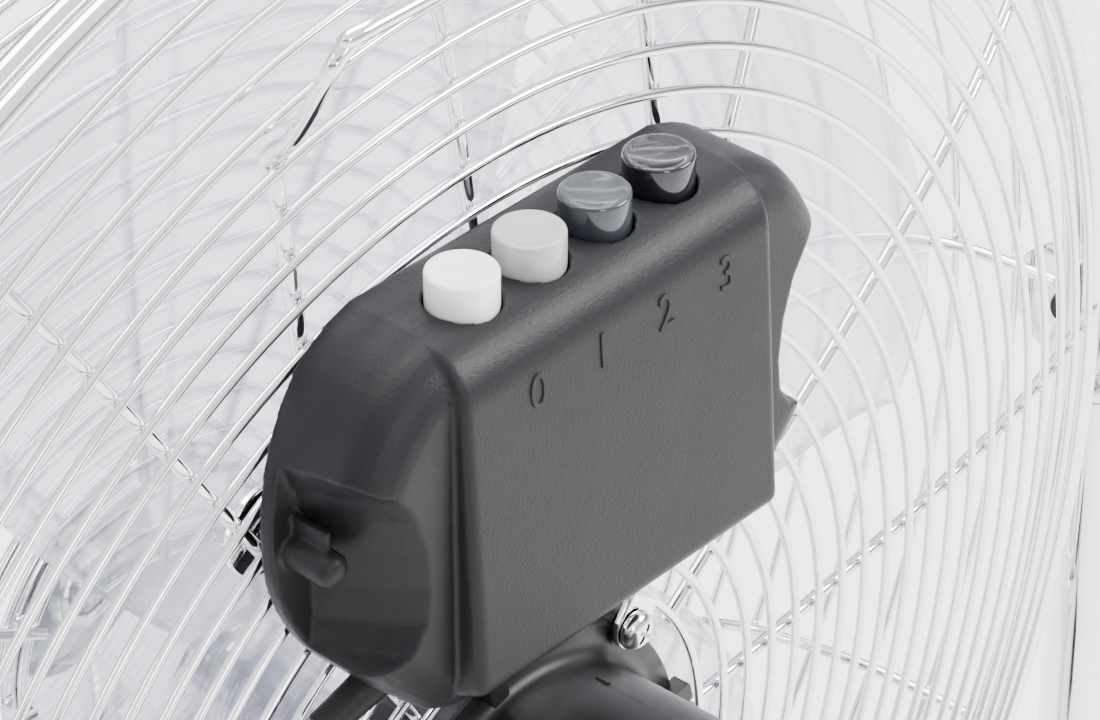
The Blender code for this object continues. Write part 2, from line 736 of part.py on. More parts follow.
def underside_profile(lift):
    """Everything below the sloping underside: depth and height."""
    return [(30.0, 40.0), (30.0, 49.3 + lift), (8.6, 60.0 + lift), (-19.0, 73.8 + lift),
            (-40.0, 84.3 + lift), (-40.0, 40.0)]


def pocket(name, side, grow, front):
    """The hollow that is cut out of a shoulder's side from behind."""
    low, high, wall = POCKET_LOW - grow, POCKET_HIGH + grow, POCKET_X - grow
    outline = [(82.0, low), (wall + 8.0, low), (wall, low + 10.0), (wall, high - 8.0),
               (wall + 7.0, high), (82.0, high)]
    outline = [(side * x, h) for x, h in outline]
    return prism(name, outline, -34.0, front, head, smooth=False)


def build_control_box():
    shell = prism("control_box", mirrored(BOX_OUTLINE), SHOULDER_DEPTH, base_depth, head,
                  material="black_plastic", parent="head")
    rear = (PIVOT_DEPTH - SHOULDER_DEPTH) * MM
    start = Vector(PARENTS["head"]["world"])
    bevel_edges(shell, lambda a, b: abs(a.y - rear) < 1e-6 and abs(b.y - rear) < 1e-6,
                7.0, 3)
    shell.location = -start
    block = prism("box_block", block_profile(0.0, 7.9), -BLOCK_HALF, BLOCK_HALF, across)
    bevel_edges(block, lambda a, b: abs(a.x - b.x) < 1e-6, 2.0, 2)
    join(shell, block)
    cut(shell, prism("box_underside", underside_profile(0.0), -90.0, 90.0, across,
                     smooth=False))
    flange = lambda h: base_depth(h) - FLANGE_RIM
    for side, label in ((-1, "a"), (1, "b")):
        cut(shell, pocket("box_pocket_" + label, side, 0.0, flange))

    hollow = prism("box_hollow", scaled_outline(BOX_WALL), SHOULDER_DEPTH + BOX_WALL, 30.0,
                   head)
    join(hollow, prism("box_hollow_block", block_profile(BOX_WALL, 10.5),
                       -BLOCK_HALF + BOX_WALL, BLOCK_HALF - BOX_WALL, across))
    cut(hollow, prism("box_hollow_underside", underside_profile(BOX_WALL + 0.3), -95.0,
                      95.0, across, smooth=False))
    for side, label in ((-1, "c"), (1, "d")):
        cut(hollow, pocket("box_pocket_" + label, side, BOX_WALL, 40.0))
    cut(shell, hollow)

    for side, label in ((-1, "a"), (1, "b")):
        x = side * PEG_X
        peg = turned("peg_" + label, [(0, -3.0), (2.6, -3.0), (PEG_RADIUS, -1.9),
                                      (PEG_RADIUS, 11.0), (0, 11.0)],
                     about_depth_line(x, PEG_HEIGHT), 16)
        join(shell, peg)
        web = box("peg_web_" + label, (side * 59.0, 2.5, PEG_HEIGHT + 2.0),
                  (side * 61.0, 11.0, PEG_HEIGHT + 9.0), head, smooth=False)
        join(shell, web)

    for number in range(4):
        x = button_x(number)
        cut(shell, turned("button_hole_%d" % number,
                          [(0, BOX_TOP - 8), (BUTTON_RADIUS + 0.5, BOX_TOP - 8),
                           (BUTTON_RADIUS + 0.5, BOX_TOP + 4), (0, BOX_TOP + 4)],
                          above_button(x), 24))
    cut(shell, gland_cutter())
    build_box_inside()


def button_x(number):
    """Buttons 0 to 3 run from +X to -X, left to right for someone behind the fan."""
    return (1.5 - number) * BUTTON_PITCH


def above_button(x):
    return lambda radius, angle, h: head(
        x + radius * math.cos(angle), radius * math.sin(angle), h)


def about_lead_end(radius, angle, h):
    """Turning about the last, upright stretch of the motor's lead."""
    x, d, _ = LEAD_ROUTE[-1]
    return head(x + radius * math.cos(angle), d + radius * math.sin(angle), h)


def build_box_inside():
    """Back plate, clamp bar, screws, switch block, capacitor and the motor's lead."""
    outline = mirrored([(38.0, 143.0), (46.0, 140.5), (53.0, 130.0), (53.0, 86.0),
                        (46.0, 74.0), (35.0, 66.0)])
    plate = prism("box_plate", outline, lambda h: base_depth(h) - 2.0,
                  lambda h: base_depth(h) - GAP, head, material="black_plastic",
                  parent="head", smooth=False)
    level = PEG_HEIGHT
    bar_rear = dome_depth(BAR_REACH) + RING_WIRE / 2 + GAP
    bar_front = bar_rear + 1.5
    for number, x in enumerate((-30.0, 30.0)):
        boss = turned("plate_boss_%d" % number, [(0, 2.0), (4.5, 2.0), (4.5, 11.5), (0, 11.5)],
                      about_depth_line(x, level), 12)
        join(plate, boss)
        cut(plate, turned("plate_bore_%d" % number,
                          [(0, 4.0), (2.3, 4.0), (2.3, 16.0), (0, 16.0)],
                          about_depth_line(x, level), 12))
        turned("box_screw_%d" % (number + 1),
               [(0, 6.0), (1.9, 6.8), (1.9, bar_front + GAP), (4.0, bar_front + GAP),
                (3.6, bar_front + 2.3), (0, bar_front + 2.9)],
               about_depth_line(x, level), 12, material="steel", parent="head")
    end = arc((CLAMP_HALF - CLAMP_END, level), CLAMP_END, -90, 90, 8)
    outline = end + [(-x, 2 * level - h) for x, h in end]
    bar = prism("box_clamp_bar", outline, bar_rear, bar_front, head, material="chrome",
                parent="head", smooth=False)
    for number, x in enumerate((-30.0, 30.0)):
        cut(bar, turned("bar_hole_%d" % number, [(0, 10), (2.3, 10), (2.3, 25), (0, 25)],
                        about_depth_line(x, level), 12))

    x, _, h = LEAD_ROUTE[0]
    bore = LEAD_RADIUS + 0.4
    cut(plate, turned("lead_hole_high", [(0, 0), (bore, 0), (bore, 20), (0, 20)],
                      about_depth_line(x, h), 12))

    block = box("switch_block", (-37.0, -8.5, 113.0), (37.0, 8.5, 135.0), head,
                material="black_plastic", parent="head", smooth=False)
    for number in range(4):
        x = button_x(number)
        cut(block, box("stem_slot_%d" % number, (x - 3.4, -3.4, 117.0),
                       (x + 3.4, 3.4, 140.0), head, smooth=False))
    box("capacitor", (-36.0, -9.0, 84.0), (-4.0, 3.0, 100.0), head,
        material="black_plastic", parent="head", smooth=False)
    lead = [head(*point) / MM for point in smooth_route(LEAD_ROUTE, 4.0)]
    wire("motor_lead", lead, LEAD_RADIUS, "rubber", "head", 1)


def build_buttons():
    finishes = ("white_plastic", "light_grey_plastic", "grey_plastic", "dark_plastic")
    for number, finish in enumerate(finishes):
        x = button_x(number)
        name = "button_%d" % number
        place = head(x, 0, BOX_TOP)
        low = BOX_TOP - 5.0
        cap = turned(name, [(0, low), (BUTTON_RADIUS, low), (BUTTON_RADIUS, BUTTON_TOP - 0.8),
                            (BUTTON_RADIUS - 0.8, BUTTON_TOP), (0, BUTTON_TOP - 0.6)],
                     above_button(x), 20, material=finish, parent="head", origin=place)
        stem = box("button_stem_%d" % number, (x - 3.0, -3.0, 123.0), (x + 3.0, 3.0, low + 1),
                   head, smooth=False)
        join(cap, stem)


def gland_frame():
    """Start, direction and side vectors of the cord's way out of the box."""
    start = Vector(GLAND_START)
    along = Vector(GLAND_WAY).normalized()
    side = Vector((0.0, 1.0, 0.0))
    return start, along, side, along.cross(side)


def about_gland(radius, angle, position):
    start, along, side, other = gland_frame()
    point = start + along * position
    point += side * radius * math.cos(angle) + other * radius * math.sin(angle)
    return head(point.x, point.y, point.z)


def gland_cutter():
    return turned("gland_hole", [(0, -9), (5.0, -9), (5.0, 12), (0, 12)], about_gland, 16)


def build_gland():
    turned("cord_gland", [(0, -7), (4.6, -7), (4.6, 6.5), (4.0, 8), (3.5, 21.4), (0, 21.4)],
           about_gland, 16, material="rubber", parent="head")


# ------------------------------------------------------------------ stand

def build_stand():
    level = BAR_HEIGHT + 2 * TUBE_RADIUS + GAP
    arm_top = AXIS_HEIGHT - 30.0
    half = [(ARM_X, arm_top), (ARM_X, level + YOKE_BEND)]
    half += arc((ARM_X - YOKE_BEND, level + YOKE_BEND), YOKE_BEND, -15, -90, 5)
    path = [Vector((-x, 0, z)) for x, z in half] + [Vector((x, 0, z)) for x, z in
                                                    reversed(half)]
    hollow_tube("yoke", path, 12, material="chrome")
    for side, label in ((-1, "right"), (1, "left")):
        build_arm_end(side, label, arm_top)
        build_foot_bar(side, label)


def build_arm_end(side, label, arm_top):
    """Tang, washer, lug and knob on one side of the tilt axis."""
    bore = STUD_RADIUS + GAP
    rim = CAGE_RADIUS + RIM_WIRE / 2 + 0.4
    lug = turned("pivot_lug_" + label, [(bore, side * rim), (16.0, side * rim),
                                        (16.0, side * (rim + 3.0)),
                                        (8.0, side * (rim + 3.0)),
                                        (8.0, side * (rim + 9.0)),
                                        (bore, side * (rim + 9.0))],
                 about_tilt_axis, 18, material="steel", parent="head")
    lug.location = -Vector(PARENTS["head"]["world"])
    washer = rim + 9.0 + GAP
    turned("pivot_washer_" + label, [(bore, side * washer), (12.0, side * washer),
                                     (12.0, side * (washer + 2.2)),
                                     (bore, side * (washer + 2.2))],
           about_tilt_axis, 18, material="nylon")
    tang_in = washer + 2.2 + GAP
    tang_out = tang_in + 5.0
    outline = arc((0.0, AXIS_HEIGHT), 12.0, 0, 180, 8)
    outline += [(-12.0, arm_top + 2.0), (12.0, arm_top + 2.0)]
    tang = prism("tang_" + label, outline, side * tang_in, side * tang_out,
                 lambda y, x, z: world(x, y, z), material="chrome")
    inside = TUBE_RADIUS - TUBE_WALL - 0.4
    plug = turned("tang_plug_" + label, [(0, arm_top - 18), (inside, arm_top - 18),
                                         (inside, arm_top + GAP), (TUBE_RADIUS, arm_top + GAP),
                                         (TUBE_RADIUS, arm_top + 3), (0, arm_top + 6)],
                  about_upright(side * ARM_X, 0.0), 16)
    join(tang, plug)
    cut(tang, turned("tang_bore_" + label, [(0, 0), (bore, 0), (bore, side * 300),
                                            (0, side * 300)], about_tilt_axis, 16))
    start = tang_out + GAP
    knob = turned("tilt_knob_" + label,
                  [(0, side * (rim + 0.8)), (STUD_RADIUS, side * (rim + 0.8)),
                   (STUD_RADIUS, side * start), (9.0, side * start),
                   (9.0, side * (start + 4)), (KNOB_RADIUS, side * (start + 6)),
                   (KNOB_RADIUS, side * (start + 17)), (16.0, side * (start + 19)),
                   (0, side * (start + 20))],
                  about_tilt_axis, 18, material="black_plastic",
                  origin=world(0, 0, AXIS_HEIGHT))
    reach = KNOB_RADIUS + 2.5
    for lobe in range(KNOB_LOBES):
        turn = 2 * math.pi * lobe / KNOB_LOBES
        y, z = reach * math.cos(turn), AXIS_HEIGHT + reach * math.sin(turn)
        groove = turned("knob_groove_%s_%d" % (label, lobe),
                        [(0, side * (start + 4.5)), (4.5, side * (start + 4.5)),
                         (4.5, side * (start + 25)), (0, side * (start + 25))],
                        lambda r, a, x, y=y, z=z: world(x, y + r * math.cos(a),
                                                        z + r * math.sin(a)), 8)
        cut(knob, groove)


def build_foot_bar(side, label):
    x = side * BAR_X
    path = [Vector((x, -BAR_END, BAR_HEIGHT)), Vector((x, BAR_END, BAR_HEIGHT))]
    hollow_tube("foot_bar_" + label, path, 12, material="chrome")
    for end, outward, name in ((-BAR_END, -1, "front"), (BAR_END, 1, "rear")):
        inner, outer = end - outward * FOOT_SLEEVE, end + outward * FOOT_END
        low, high = min(inner, outer), max(inner, outer)
        cap = TUBE_RADIUS + FOOT_WALL
        outline = [(x - cap - 2.0, 0.0), (x + cap + 2.0, 0.0)]
        outline += arc((x, BAR_HEIGHT), cap, 0, 180, 8)
        foot = prism("foot_%s_%s" % (name, label), outline, low, high,
                     world, material="rubber")
        bore = [(0, end - outward * (FOOT_SLEEVE + 5)),
                (TUBE_RADIUS + GAP, end - outward * (FOOT_SLEEVE + 5)),
                (TUBE_RADIUS + GAP, end + outward * GAP), (0, end + outward * GAP)]
        cut(foot, turned("foot_bore_%s_%s" % (name, label), bore,
                         lambda r, a, y, x=x: world(x + r * math.cos(a), y,
                                                    BAR_HEIGHT + r * math.sin(a)), 16))


# ------------------------------------------------------------------ mains cord

def build_cord():
    """The lead from the gland to the surface, its coil behind the crossbar, the plug."""
    spacing = 2.4 * CORD_DIAMETER
    wire("cord", smooth_route(CORD_ROUTE, spacing), CORD_DIAMETER / 2, "rubber")
    wire("cord_tail", smooth_route(TAIL_ROUTE, spacing), CORD_DIAMETER / 2, "rubber")
    half = COIL_COLUMNS * CORD_DIAMETER / 2
    height = COIL_LAYERS * CORD_DIAMETER
    inner, outer = COIL_MEAN_RADIUS - half, COIL_MEAN_RADIUS + half
    turned("cord_coil", [(inner, 0), (outer, 0), (outer, height), (inner, height)],
           about_upright(*COIL_CENTRE), 28, material="rubber")

    start = TAIL_ROUTE[-1][0] - GAP
    turned("plug", [(0, 0), (5, 0), (12, 22), (14, 38), (PLUG_RADIUS, 40),
                    (PLUG_RADIUS, PLUG_LENGTH), (0, PLUG_LENGTH)], about_plug(start, 0.0),
           20, material="rubber")
    for number, offset in enumerate((-9.5, 9.5)):
        turned("plug_pin_%d" % (number + 1),
               [(0, PLUG_LENGTH + GAP), (2.4, PLUG_LENGTH + GAP), (2.4, PLUG_LENGTH + 18),
                (0, PLUG_LENGTH + 19)], about_plug(start, offset), 10, material="brass")


def about_plug(start, offset):
    """Turning about the plug's axis, or a line beside it, running toward -X."""
    middle = TAIL_ROUTE[-1][1] + offset
    return lambda radius, angle, out: world(
        start - out, middle + radius * math.cos(angle),
        PLUG_RADIUS + radius * math.sin(angle))


def main():
    clear_scene()
    make_materials()
    add_parent("head", head(0, PIVOT_DEPTH, 0))
    add_parent("rotor", head(0, 0, 0), "head")
    build_grilles()
    build_handle()
    build_motor()
    build_impeller()
    build_control_box()
    build_buttons()
    build_gland()
    build_stand()
    build_cord()


main()
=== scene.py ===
"""The finished look of a wire-caged desk fan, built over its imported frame."""

import json
import math

import bmesh
import bpy
from bpy.props import FloatProperty, FloatVectorProperty, IntProperty, PointerProperty
from bpy.types import Operator, Panel, PropertyGroup
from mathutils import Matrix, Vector

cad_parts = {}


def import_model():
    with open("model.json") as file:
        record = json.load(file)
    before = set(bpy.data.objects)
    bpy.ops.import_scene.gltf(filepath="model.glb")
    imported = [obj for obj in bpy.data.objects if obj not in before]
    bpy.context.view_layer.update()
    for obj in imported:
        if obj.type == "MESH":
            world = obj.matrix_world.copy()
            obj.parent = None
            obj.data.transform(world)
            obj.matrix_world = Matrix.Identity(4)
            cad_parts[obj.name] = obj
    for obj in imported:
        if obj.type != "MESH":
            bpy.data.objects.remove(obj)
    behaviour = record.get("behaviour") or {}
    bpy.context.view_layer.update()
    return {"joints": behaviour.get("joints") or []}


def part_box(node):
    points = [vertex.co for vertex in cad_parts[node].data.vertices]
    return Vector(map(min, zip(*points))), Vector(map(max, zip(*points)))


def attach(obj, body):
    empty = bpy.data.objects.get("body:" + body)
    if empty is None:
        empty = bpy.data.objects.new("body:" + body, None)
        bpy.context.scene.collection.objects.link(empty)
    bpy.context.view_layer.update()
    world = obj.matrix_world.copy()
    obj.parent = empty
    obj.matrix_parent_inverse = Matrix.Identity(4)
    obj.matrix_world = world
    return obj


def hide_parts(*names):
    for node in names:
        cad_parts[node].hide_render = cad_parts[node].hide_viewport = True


bl_info = {
    "name": "Wire Cage Desk Fan",
    "version": (1, 0, 0),
    "blender": (4, 5, 0),
    "location": "3D View > Sidebar > Fan",
    "description": "Builds the pieces, finishes and stage of a chrome desk fan",
    "category": "Object",
}

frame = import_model()
JOINTS = {joint["name"]: joint for joint in frame["joints"]}

MM = 0.001
AXIS_HEIGHT = JOINTS["head_tilt"]["pos_m"][2] / MM
FAN_Y = JOINTS["blade_spin"]["pos_m"][1] / MM
FAN_PLACE = Vector((0.0, FAN_Y, AXIS_HEIGHT)) * MM

CAGE_RADIUS = 228.5            # centre line of the two rims
REAR_RIM_DEPTH = 36.0
FRONT_RIM_DEPTH = 42.0
RING_FIRST = 54.6              # radius of the innermost rear ring
RING_PITCH = 8.64
RING_COUNT = 20
DOME_DEPTH = 9.9               # depth of the innermost rear ring
DOME_SLOPE = 9.8               # straight part of the rise to the last one
DOME_CURL = 10.3               # part that grows toward the rim
FRONT_FIRST = 38.0             # the same for the front face, which only curls back
FRONT_COUNT = 19
FRONT_DEPTH = 118.0
FRONT_DROP = 14.0
FRONT_REACH = 194.0            # radius at which the whole drop is reached
SIDE_RINGS = ((208.0, 99.5), (219.0, 88.0), (225.5, 74.0), (228.0, 58.0))
RIB_COUNT = 12
BLADE_RADIUS = 198.0
BLADE_COUNT = 5
BLADE_ROOT = 30.0              # radius where a blade leaves the hub
BLADE_CORNER = 24.0            # how far a blade's outer corners are drawn in
HUB_BORE = 4.4
MOTOR_RADIUS = 40.0
COVER_END = -55.0              # depth of the motor cover's rear end
COVER_CORNER = 9.0             # rounding of that end
COVER_FLARE = 4.0              # sweep from the cover out into its flange
COVER_WALL = 2.5
FLANGE_RADIUS = 47.5
FLANGE_DEPTH = 10.0
FLANGE_THICK = 2.5
SCREW_CIRCLE = 48.0
SCREW_HOLE = 2.3               # radius of the screws' holes
SCREW_TURNS = (39, 129, 219, 309)
LUG_TURN = 38
RIB_TURN = -1.8
FRONT_RIB_TURN = -2.5
HANDLE_RADIUS = 1.75

BOX_TOP = 148.0
BLOCK_HALF = 43.0              # half width of the raised middle block
BLOCK_ROUND = 12.0             # rounding of its top
SHOULDER_DEPTH = -12.5
BUTTON_TOP = 154.4
BUTTON_PITCH = 18.1
PEG_X = 63.2
PEG_HEIGHT = 107.5             # also the level of the clamp bar
CLAMP_HALF = 72.0
CLAMP_END = 9.5
NUMERAL_X = (23.7, 6.1, -11.7, -29.1)
NUMERAL_HEIGHT = 133.2         # middle of the figures
NUMERAL_TALL = 7.2
BOX_MIDDLE = (68.7, 106.0, 45.0)   # widest x, and the middle and half of the height
BOX_OUTLINE = (                # right half of the box against the grille: x, h
    (41.3, 148.0), (48.0, 145.8), (52.6, 143.4), (56.8, 140.0), (61.3, 134.0),
    (65.2, 126.4), (67.6, 118.0), (68.7, 109.6), (68.6, 102.0), (66.6, 94.4),
    (63.2, 87.2), (58.0, 80.0), (50.2, 72.2), (42.4, 65.0), (34.0, 60.0))

CORD_DIAMETER = 6.4
COIL_CENTRE = (64.0, 83.8)
COIL_MEAN_RADIUS = 35.2
CORD_ROUTE = (
    (64.4, 41.9, 349.0), (69.9, 40.6, 346.0), (81.0, 40.2, 336.4), (90.4, 41.6, 320.0),
    (96.0, 43.4, 299.0), (99.4, 44.6, 273.0), (101.6, 44.8, 243.0),
    (103.0, 43.2, 205.0), (104.2, 39.6, 165.0), (105.2, 35.2, 125.0), (105.8, 31.2, 90.0),
    (106.0, 29.2, 62.0), (106.0, 29.5, 42.0), (106.0, 32.5, 21.2),
    (105.9, 40.2, 10.7), (105.7, 50.0, 5.0), (105.6, 59.8, 3.3))
TAIL_ROUTE = (
    (40.1, 125.4, 9.8), (29.0, 125.0, 10.4), (18.0, 123.0, 12.4), (7.0, 119.0, 15.4),
    (-4.0, 115.0, 17.5), (-15.0, 113.4, 18.0), (-24.0, 113.4, 18.0))
PLUG_RADIUS = 18.0
GLAND_START = (45.0, -1.4, 79.6)
GLAND_WAY = (0.86, 0.20, -0.47)

TUBE_RADIUS = 8.0
ARM_X = 246.0
ARM_TOP = AXIS_HEIGHT - 30.0
YOKE_LEVEL = 29.8              # height of the crossbar's centre line
YOKE_BEND = 48.0
BAR_X = 150.0
BAR_HEIGHT = 13.5
BAR_END = 130.0
FOOT_RADIUS = 11.5
PIVOT_BORE = 4.3
PIVOT_START = CAGE_RADIUS + 2.9    # where the pivot's lug stands on the rims
LUG_LENGTH = 9.0
WASHER = 2.2                   # thickness of the nylon washer
TANG = 5.0                     # and of the flattened tang
GAP = 0.3                      # clearance between pieces that touch

CAMERA_TURN = 131.75
CAMERA_RISE = 33.9
CAMERA_DISTANCE = 0.8658
CAMERA_TARGET = (0.0034, 0.045, 0.4028)


# ------------------------------------------------------------------ places and curves

def head(x, d, h):
    """A place in the fan's head: across, depth toward the outlet, height over the axis."""
    return Vector((x, FAN_Y - d, AXIS_HEIGHT + h)) * MM


def world(x, y, z):
    return Vector((x, y, z)) * MM


def pattern_place(across, d, up):
    """A place in a piece that is drawn about the origin and then copied round."""
    return world(across, -d, up)


def about_fan_axis(radius, angle, d):
    return head(radius * math.cos(angle), d, radius * math.sin(angle))


def about_depth_line(x, h):
    return lambda radius, angle, d: head(
        x + radius * math.cos(angle), d, h + radius * math.sin(angle))


def about_screw(degrees):
    """Turning about the motor screw that stands at an angle round the fan's axis."""
    turn = math.radians(degrees)
    return about_depth_line(SCREW_CIRCLE * math.cos(turn), SCREW_CIRCLE * math.sin(turn))


def about_button(x):
    return lambda radius, angle, h: head(
        x + radius * math.cos(angle), radius * math.sin(angle), h)


def about_tilt_axis(radius, angle, x):
    return world(x, radius * math.cos(angle), AXIS_HEIGHT + radius * math.sin(angle))


def arc(centre, radius, start, end, steps):
    points = []
    for i in range(steps + 1):
        turn = math.radians(start + (end - start) * i / steps)
        points.append((centre[0] + radius * math.cos(turn),
                       centre[1] + radius * math.sin(turn)))
    return points


def catmull(p0, p1, p2, p3, t):
    return 0.5 * (2 * p1 + (p2 - p0) * t + (2 * p0 - 5 * p1 + 4 * p2 - p3) * t * t
                  + (3 * p1 - p0 - 3 * p2 + p3) * t ** 3)


def smooth_route(points, steps=8):
    """A finer list of points on the smooth curve through a route."""
    route = [Vector(p) for p in points]
    fine = []
    for i in range(len(route) - 1):
        before, after = route[max(i - 1, 0)], route[min(i + 2, len(route) - 1)]
        for k in range(steps):
            fine.append(catmull(before, route[i], route[i + 1], after, k / steps))
    return fine + [route[-1]]


def dome_depth(radius):
    """Depth of the rear grille's rings."""
    t = max(0.0, (radius - RING_FIRST) / (RING_PITCH * (RING_COUNT - 1)))
    return DOME_DEPTH + DOME_SLOPE * t + DOME_CURL * t ** 4


def base_depth(h):
    """Depth of the control box's open side."""
    return 15.05 - 0.0765 * (BOX_TOP - h)


# ------------------------------------------------------------------ meshes

def link(name, mesh):
    item = bpy.data.objects.new(name, mesh)
    bpy.context.scene.collection.objects.link(item)
    return item


def write_outwards(shape, mesh):
    """Turns the faces of a closed shape outwards and writes it into the mesh."""
    bmesh.ops.recalc_face_normals(shape, faces=shape.faces[:])
    shape.to_mesh(mesh)
    shape.free()


def shade(mesh, sharp=40.0):
    mesh.shade_smooth()
    mesh.set_sharp_from_angle(angle=math.radians(sharp))


def dress(item, material):
    """Gives the whole piece one material, whatever its tools brought along."""
    item.data.materials.clear()
    item.data.materials.append(material)


def make(name, verts, faces, material=None, sharp=35.0):
    """A closed mesh object from points in metres, faces outwards, shaded smooth."""
    shape = bmesh.new()
    corners = [shape.verts.new(v) for v in verts]
    for face in faces:
        shape.faces.new([corners[i] for i in face])
    mesh = bpy.data.meshes.new(name)
    write_outwards(shape, mesh)
    shade(mesh, sharp)
    if material:
        mesh.materials.append(material)
    return link(name, mesh)


def turned(name, profile, place, steps=64, material=None, sharp=35.0, flute=None):
    """Turns a closed (radius, position) profile; flute changes the radius by angle."""
    verts, index = [], []
    for radius, position in profile:
        row = []
        for k in range(1 if radius < 1e-6 else steps):
            angle = 2 * math.pi * k / steps
            reach = radius * (flute(angle, position) if flute else 1.0)
            row.append(len(verts))
            verts.append(place(reach, angle, position))
        index.append(row)
    faces = []
    for i, row in enumerate(index):
        other = index[(i + 1) % len(index)]
        for k in range(steps):
            m = (k + 1) % steps
            ring = [row[k % len(row)], row[m % len(row)], other[m % len(other)],
                    other[k % len(other)]]
            ring = list(dict.fromkeys(ring))
            if len(ring) > 2:
                faces.append(ring)
    return make(name, verts, faces, material, sharp)


def prism(name, outline, start, end, place, material=None):
    """Extrudes an outline; start and end are numbers or functions of its second value."""
    low = start if callable(start) else lambda second: start
    high = end if callable(end) else lambda second: end
    verts = [place(a, low(b), b) for a, b in outline]
    verts += [place(a, high(b), b) for a, b in outline]
    count = len(outline)
    faces = [list(range(count)), list(range(count, 2 * count))]
    faces += [[i, (i + 1) % count, count + (i + 1) % count, count + i]
              for i in range(count)]
    return make(name, verts, faces, material)


def rounded(points, radius, steps=5):
    """Rounds the corners of a closed profile."""
    result, count = [], len(points)
    for i in range(count):
        here = Vector(points[i])
        back, ahead = Vector(points[i - 1]) - here, Vector(points[(i + 1) % count]) - here
        reach = min(radius, back.length * 0.45, ahead.length * 0.45)
        if here.x < 1e-6 or reach < 1e-4:
            result.append(tuple(here))
            continue
        first, last = here + back.normalized() * reach, here + ahead.normalized() * reach
        for k in range(steps + 1):
            t = k / steps
            point = first * (1 - t) ** 2 + here * 2 * t * (1 - t) + last * t * t
            result.append(tuple(point))
    return result


def tube(name, points, radius, material, sides=12):
    """A round bar or wire through points in metres, with filled ends."""
    curve = bpy.data.curves.new(name, "CURVE")
    curve.dimensions = "3D"
    curve.bevel_depth = radius * MM
    curve.bevel_resolution = max(0, (sides - 4) // 2)
    curve.use_fill_caps = True
    spline = curve.splines.new("POLY")
    spline.points.add(len(points) - 1)
    for knot, point in zip(spline.points, points):
        knot.co = (*point, 1.0)
    curve.materials.append(material)
    return link(name, curve)


def baked(item, name=None):
    """The evaluated object as a plain mesh object; the original is removed."""
    depsgraph = bpy.context.evaluated_depsgraph_get()
    mesh = bpy.data.meshes.new_from_object(item.evaluated_get(depsgraph))
    title = name or item.name
    bpy.data.objects.remove(item, do_unlink=True)
    mesh.name = title
    return link(title, mesh)


def combine(item, others, operation):
    """Booleans baked into the mesh; the tools are removed."""
    for other in others:
        step = item.modifiers.new("Combine", "BOOLEAN")
        step.operation = operation
        step.solver = "EXACT"
        step.object = other
    result = baked(item, item.name)
    for other in others:
        bpy.data.objects.remove(other, do_unlink=True)
    return result


def soften(item, width=0.4, segments=2, angle=30.0):
    step = item.modifiers.new("Soft edges", "BEVEL")
    step.width = width * MM
    step.segments = segments
    step.limit_method = "ANGLE"
    step.angle_limit = math.radians(angle)
    step.harden_normals = False
    return item


# ------------------------------------------------------------------ shader writing

class Value:
    """A shader socket that takes part in Python arithmetic."""

    def __init__(self, nodes, socket):
        self.nodes = nodes
        self.socket = socket

    def worked(self, operation, first, second):
        node = self.nodes.add("ShaderNodeMath", {"operation": operation},
                              {0: first, 1: second})
        return Value(self.nodes, node.outputs[0])

    def __add__(self, other):
        return self.worked("ADD", self, other)

    def __mul__(self, other):
        return self.worked("MULTIPLY", self, other)

    def __sub__(self, other):
        return self.worked("SUBTRACT", self, other)

    def __rsub__(self, other):
        return self.worked("SUBTRACT", other, self)

    def __pow__(self, other):
        return self.worked("POWER", self, other)

    __radd__ = __add__
    __rmul__ = __mul__


class Nodes:
    """Writes nodes into a tree, for shaders and for geometry alike."""

    def __init__(self, tree):
        self.tree = tree

    def add(self, kind, settings=None, inputs=None):
        node = self.tree.nodes.new(kind)
        for key, value in (settings or {}).items():
            if key == "stops":
                for stop, (place, colour) in zip(self.stops(node, len(value)), value):
                    stop.position = place
                    stop.color = colour
            else:
                setattr(node, key, value)
        for key, value in (inputs or {}).items():
            self.feed(node.inputs[key], value)
        return node

    def first(self, kind, inputs=None, settings=None):
        """Adds a node and gives its first output."""
        return self.add(kind, settings, inputs).outputs[0]

    def stops(self, node, count):
        stops = node.color_ramp.elements
        while len(stops) < count:
            stops.new(0.5)
        return stops

    def feed(self, socket, value):
        source = value.socket if isinstance(value, Value) else value
        if isinstance(source, bpy.types.NodeSocket):
            self.tree.links.new(source, socket)
        else:
            socket.default_value = source


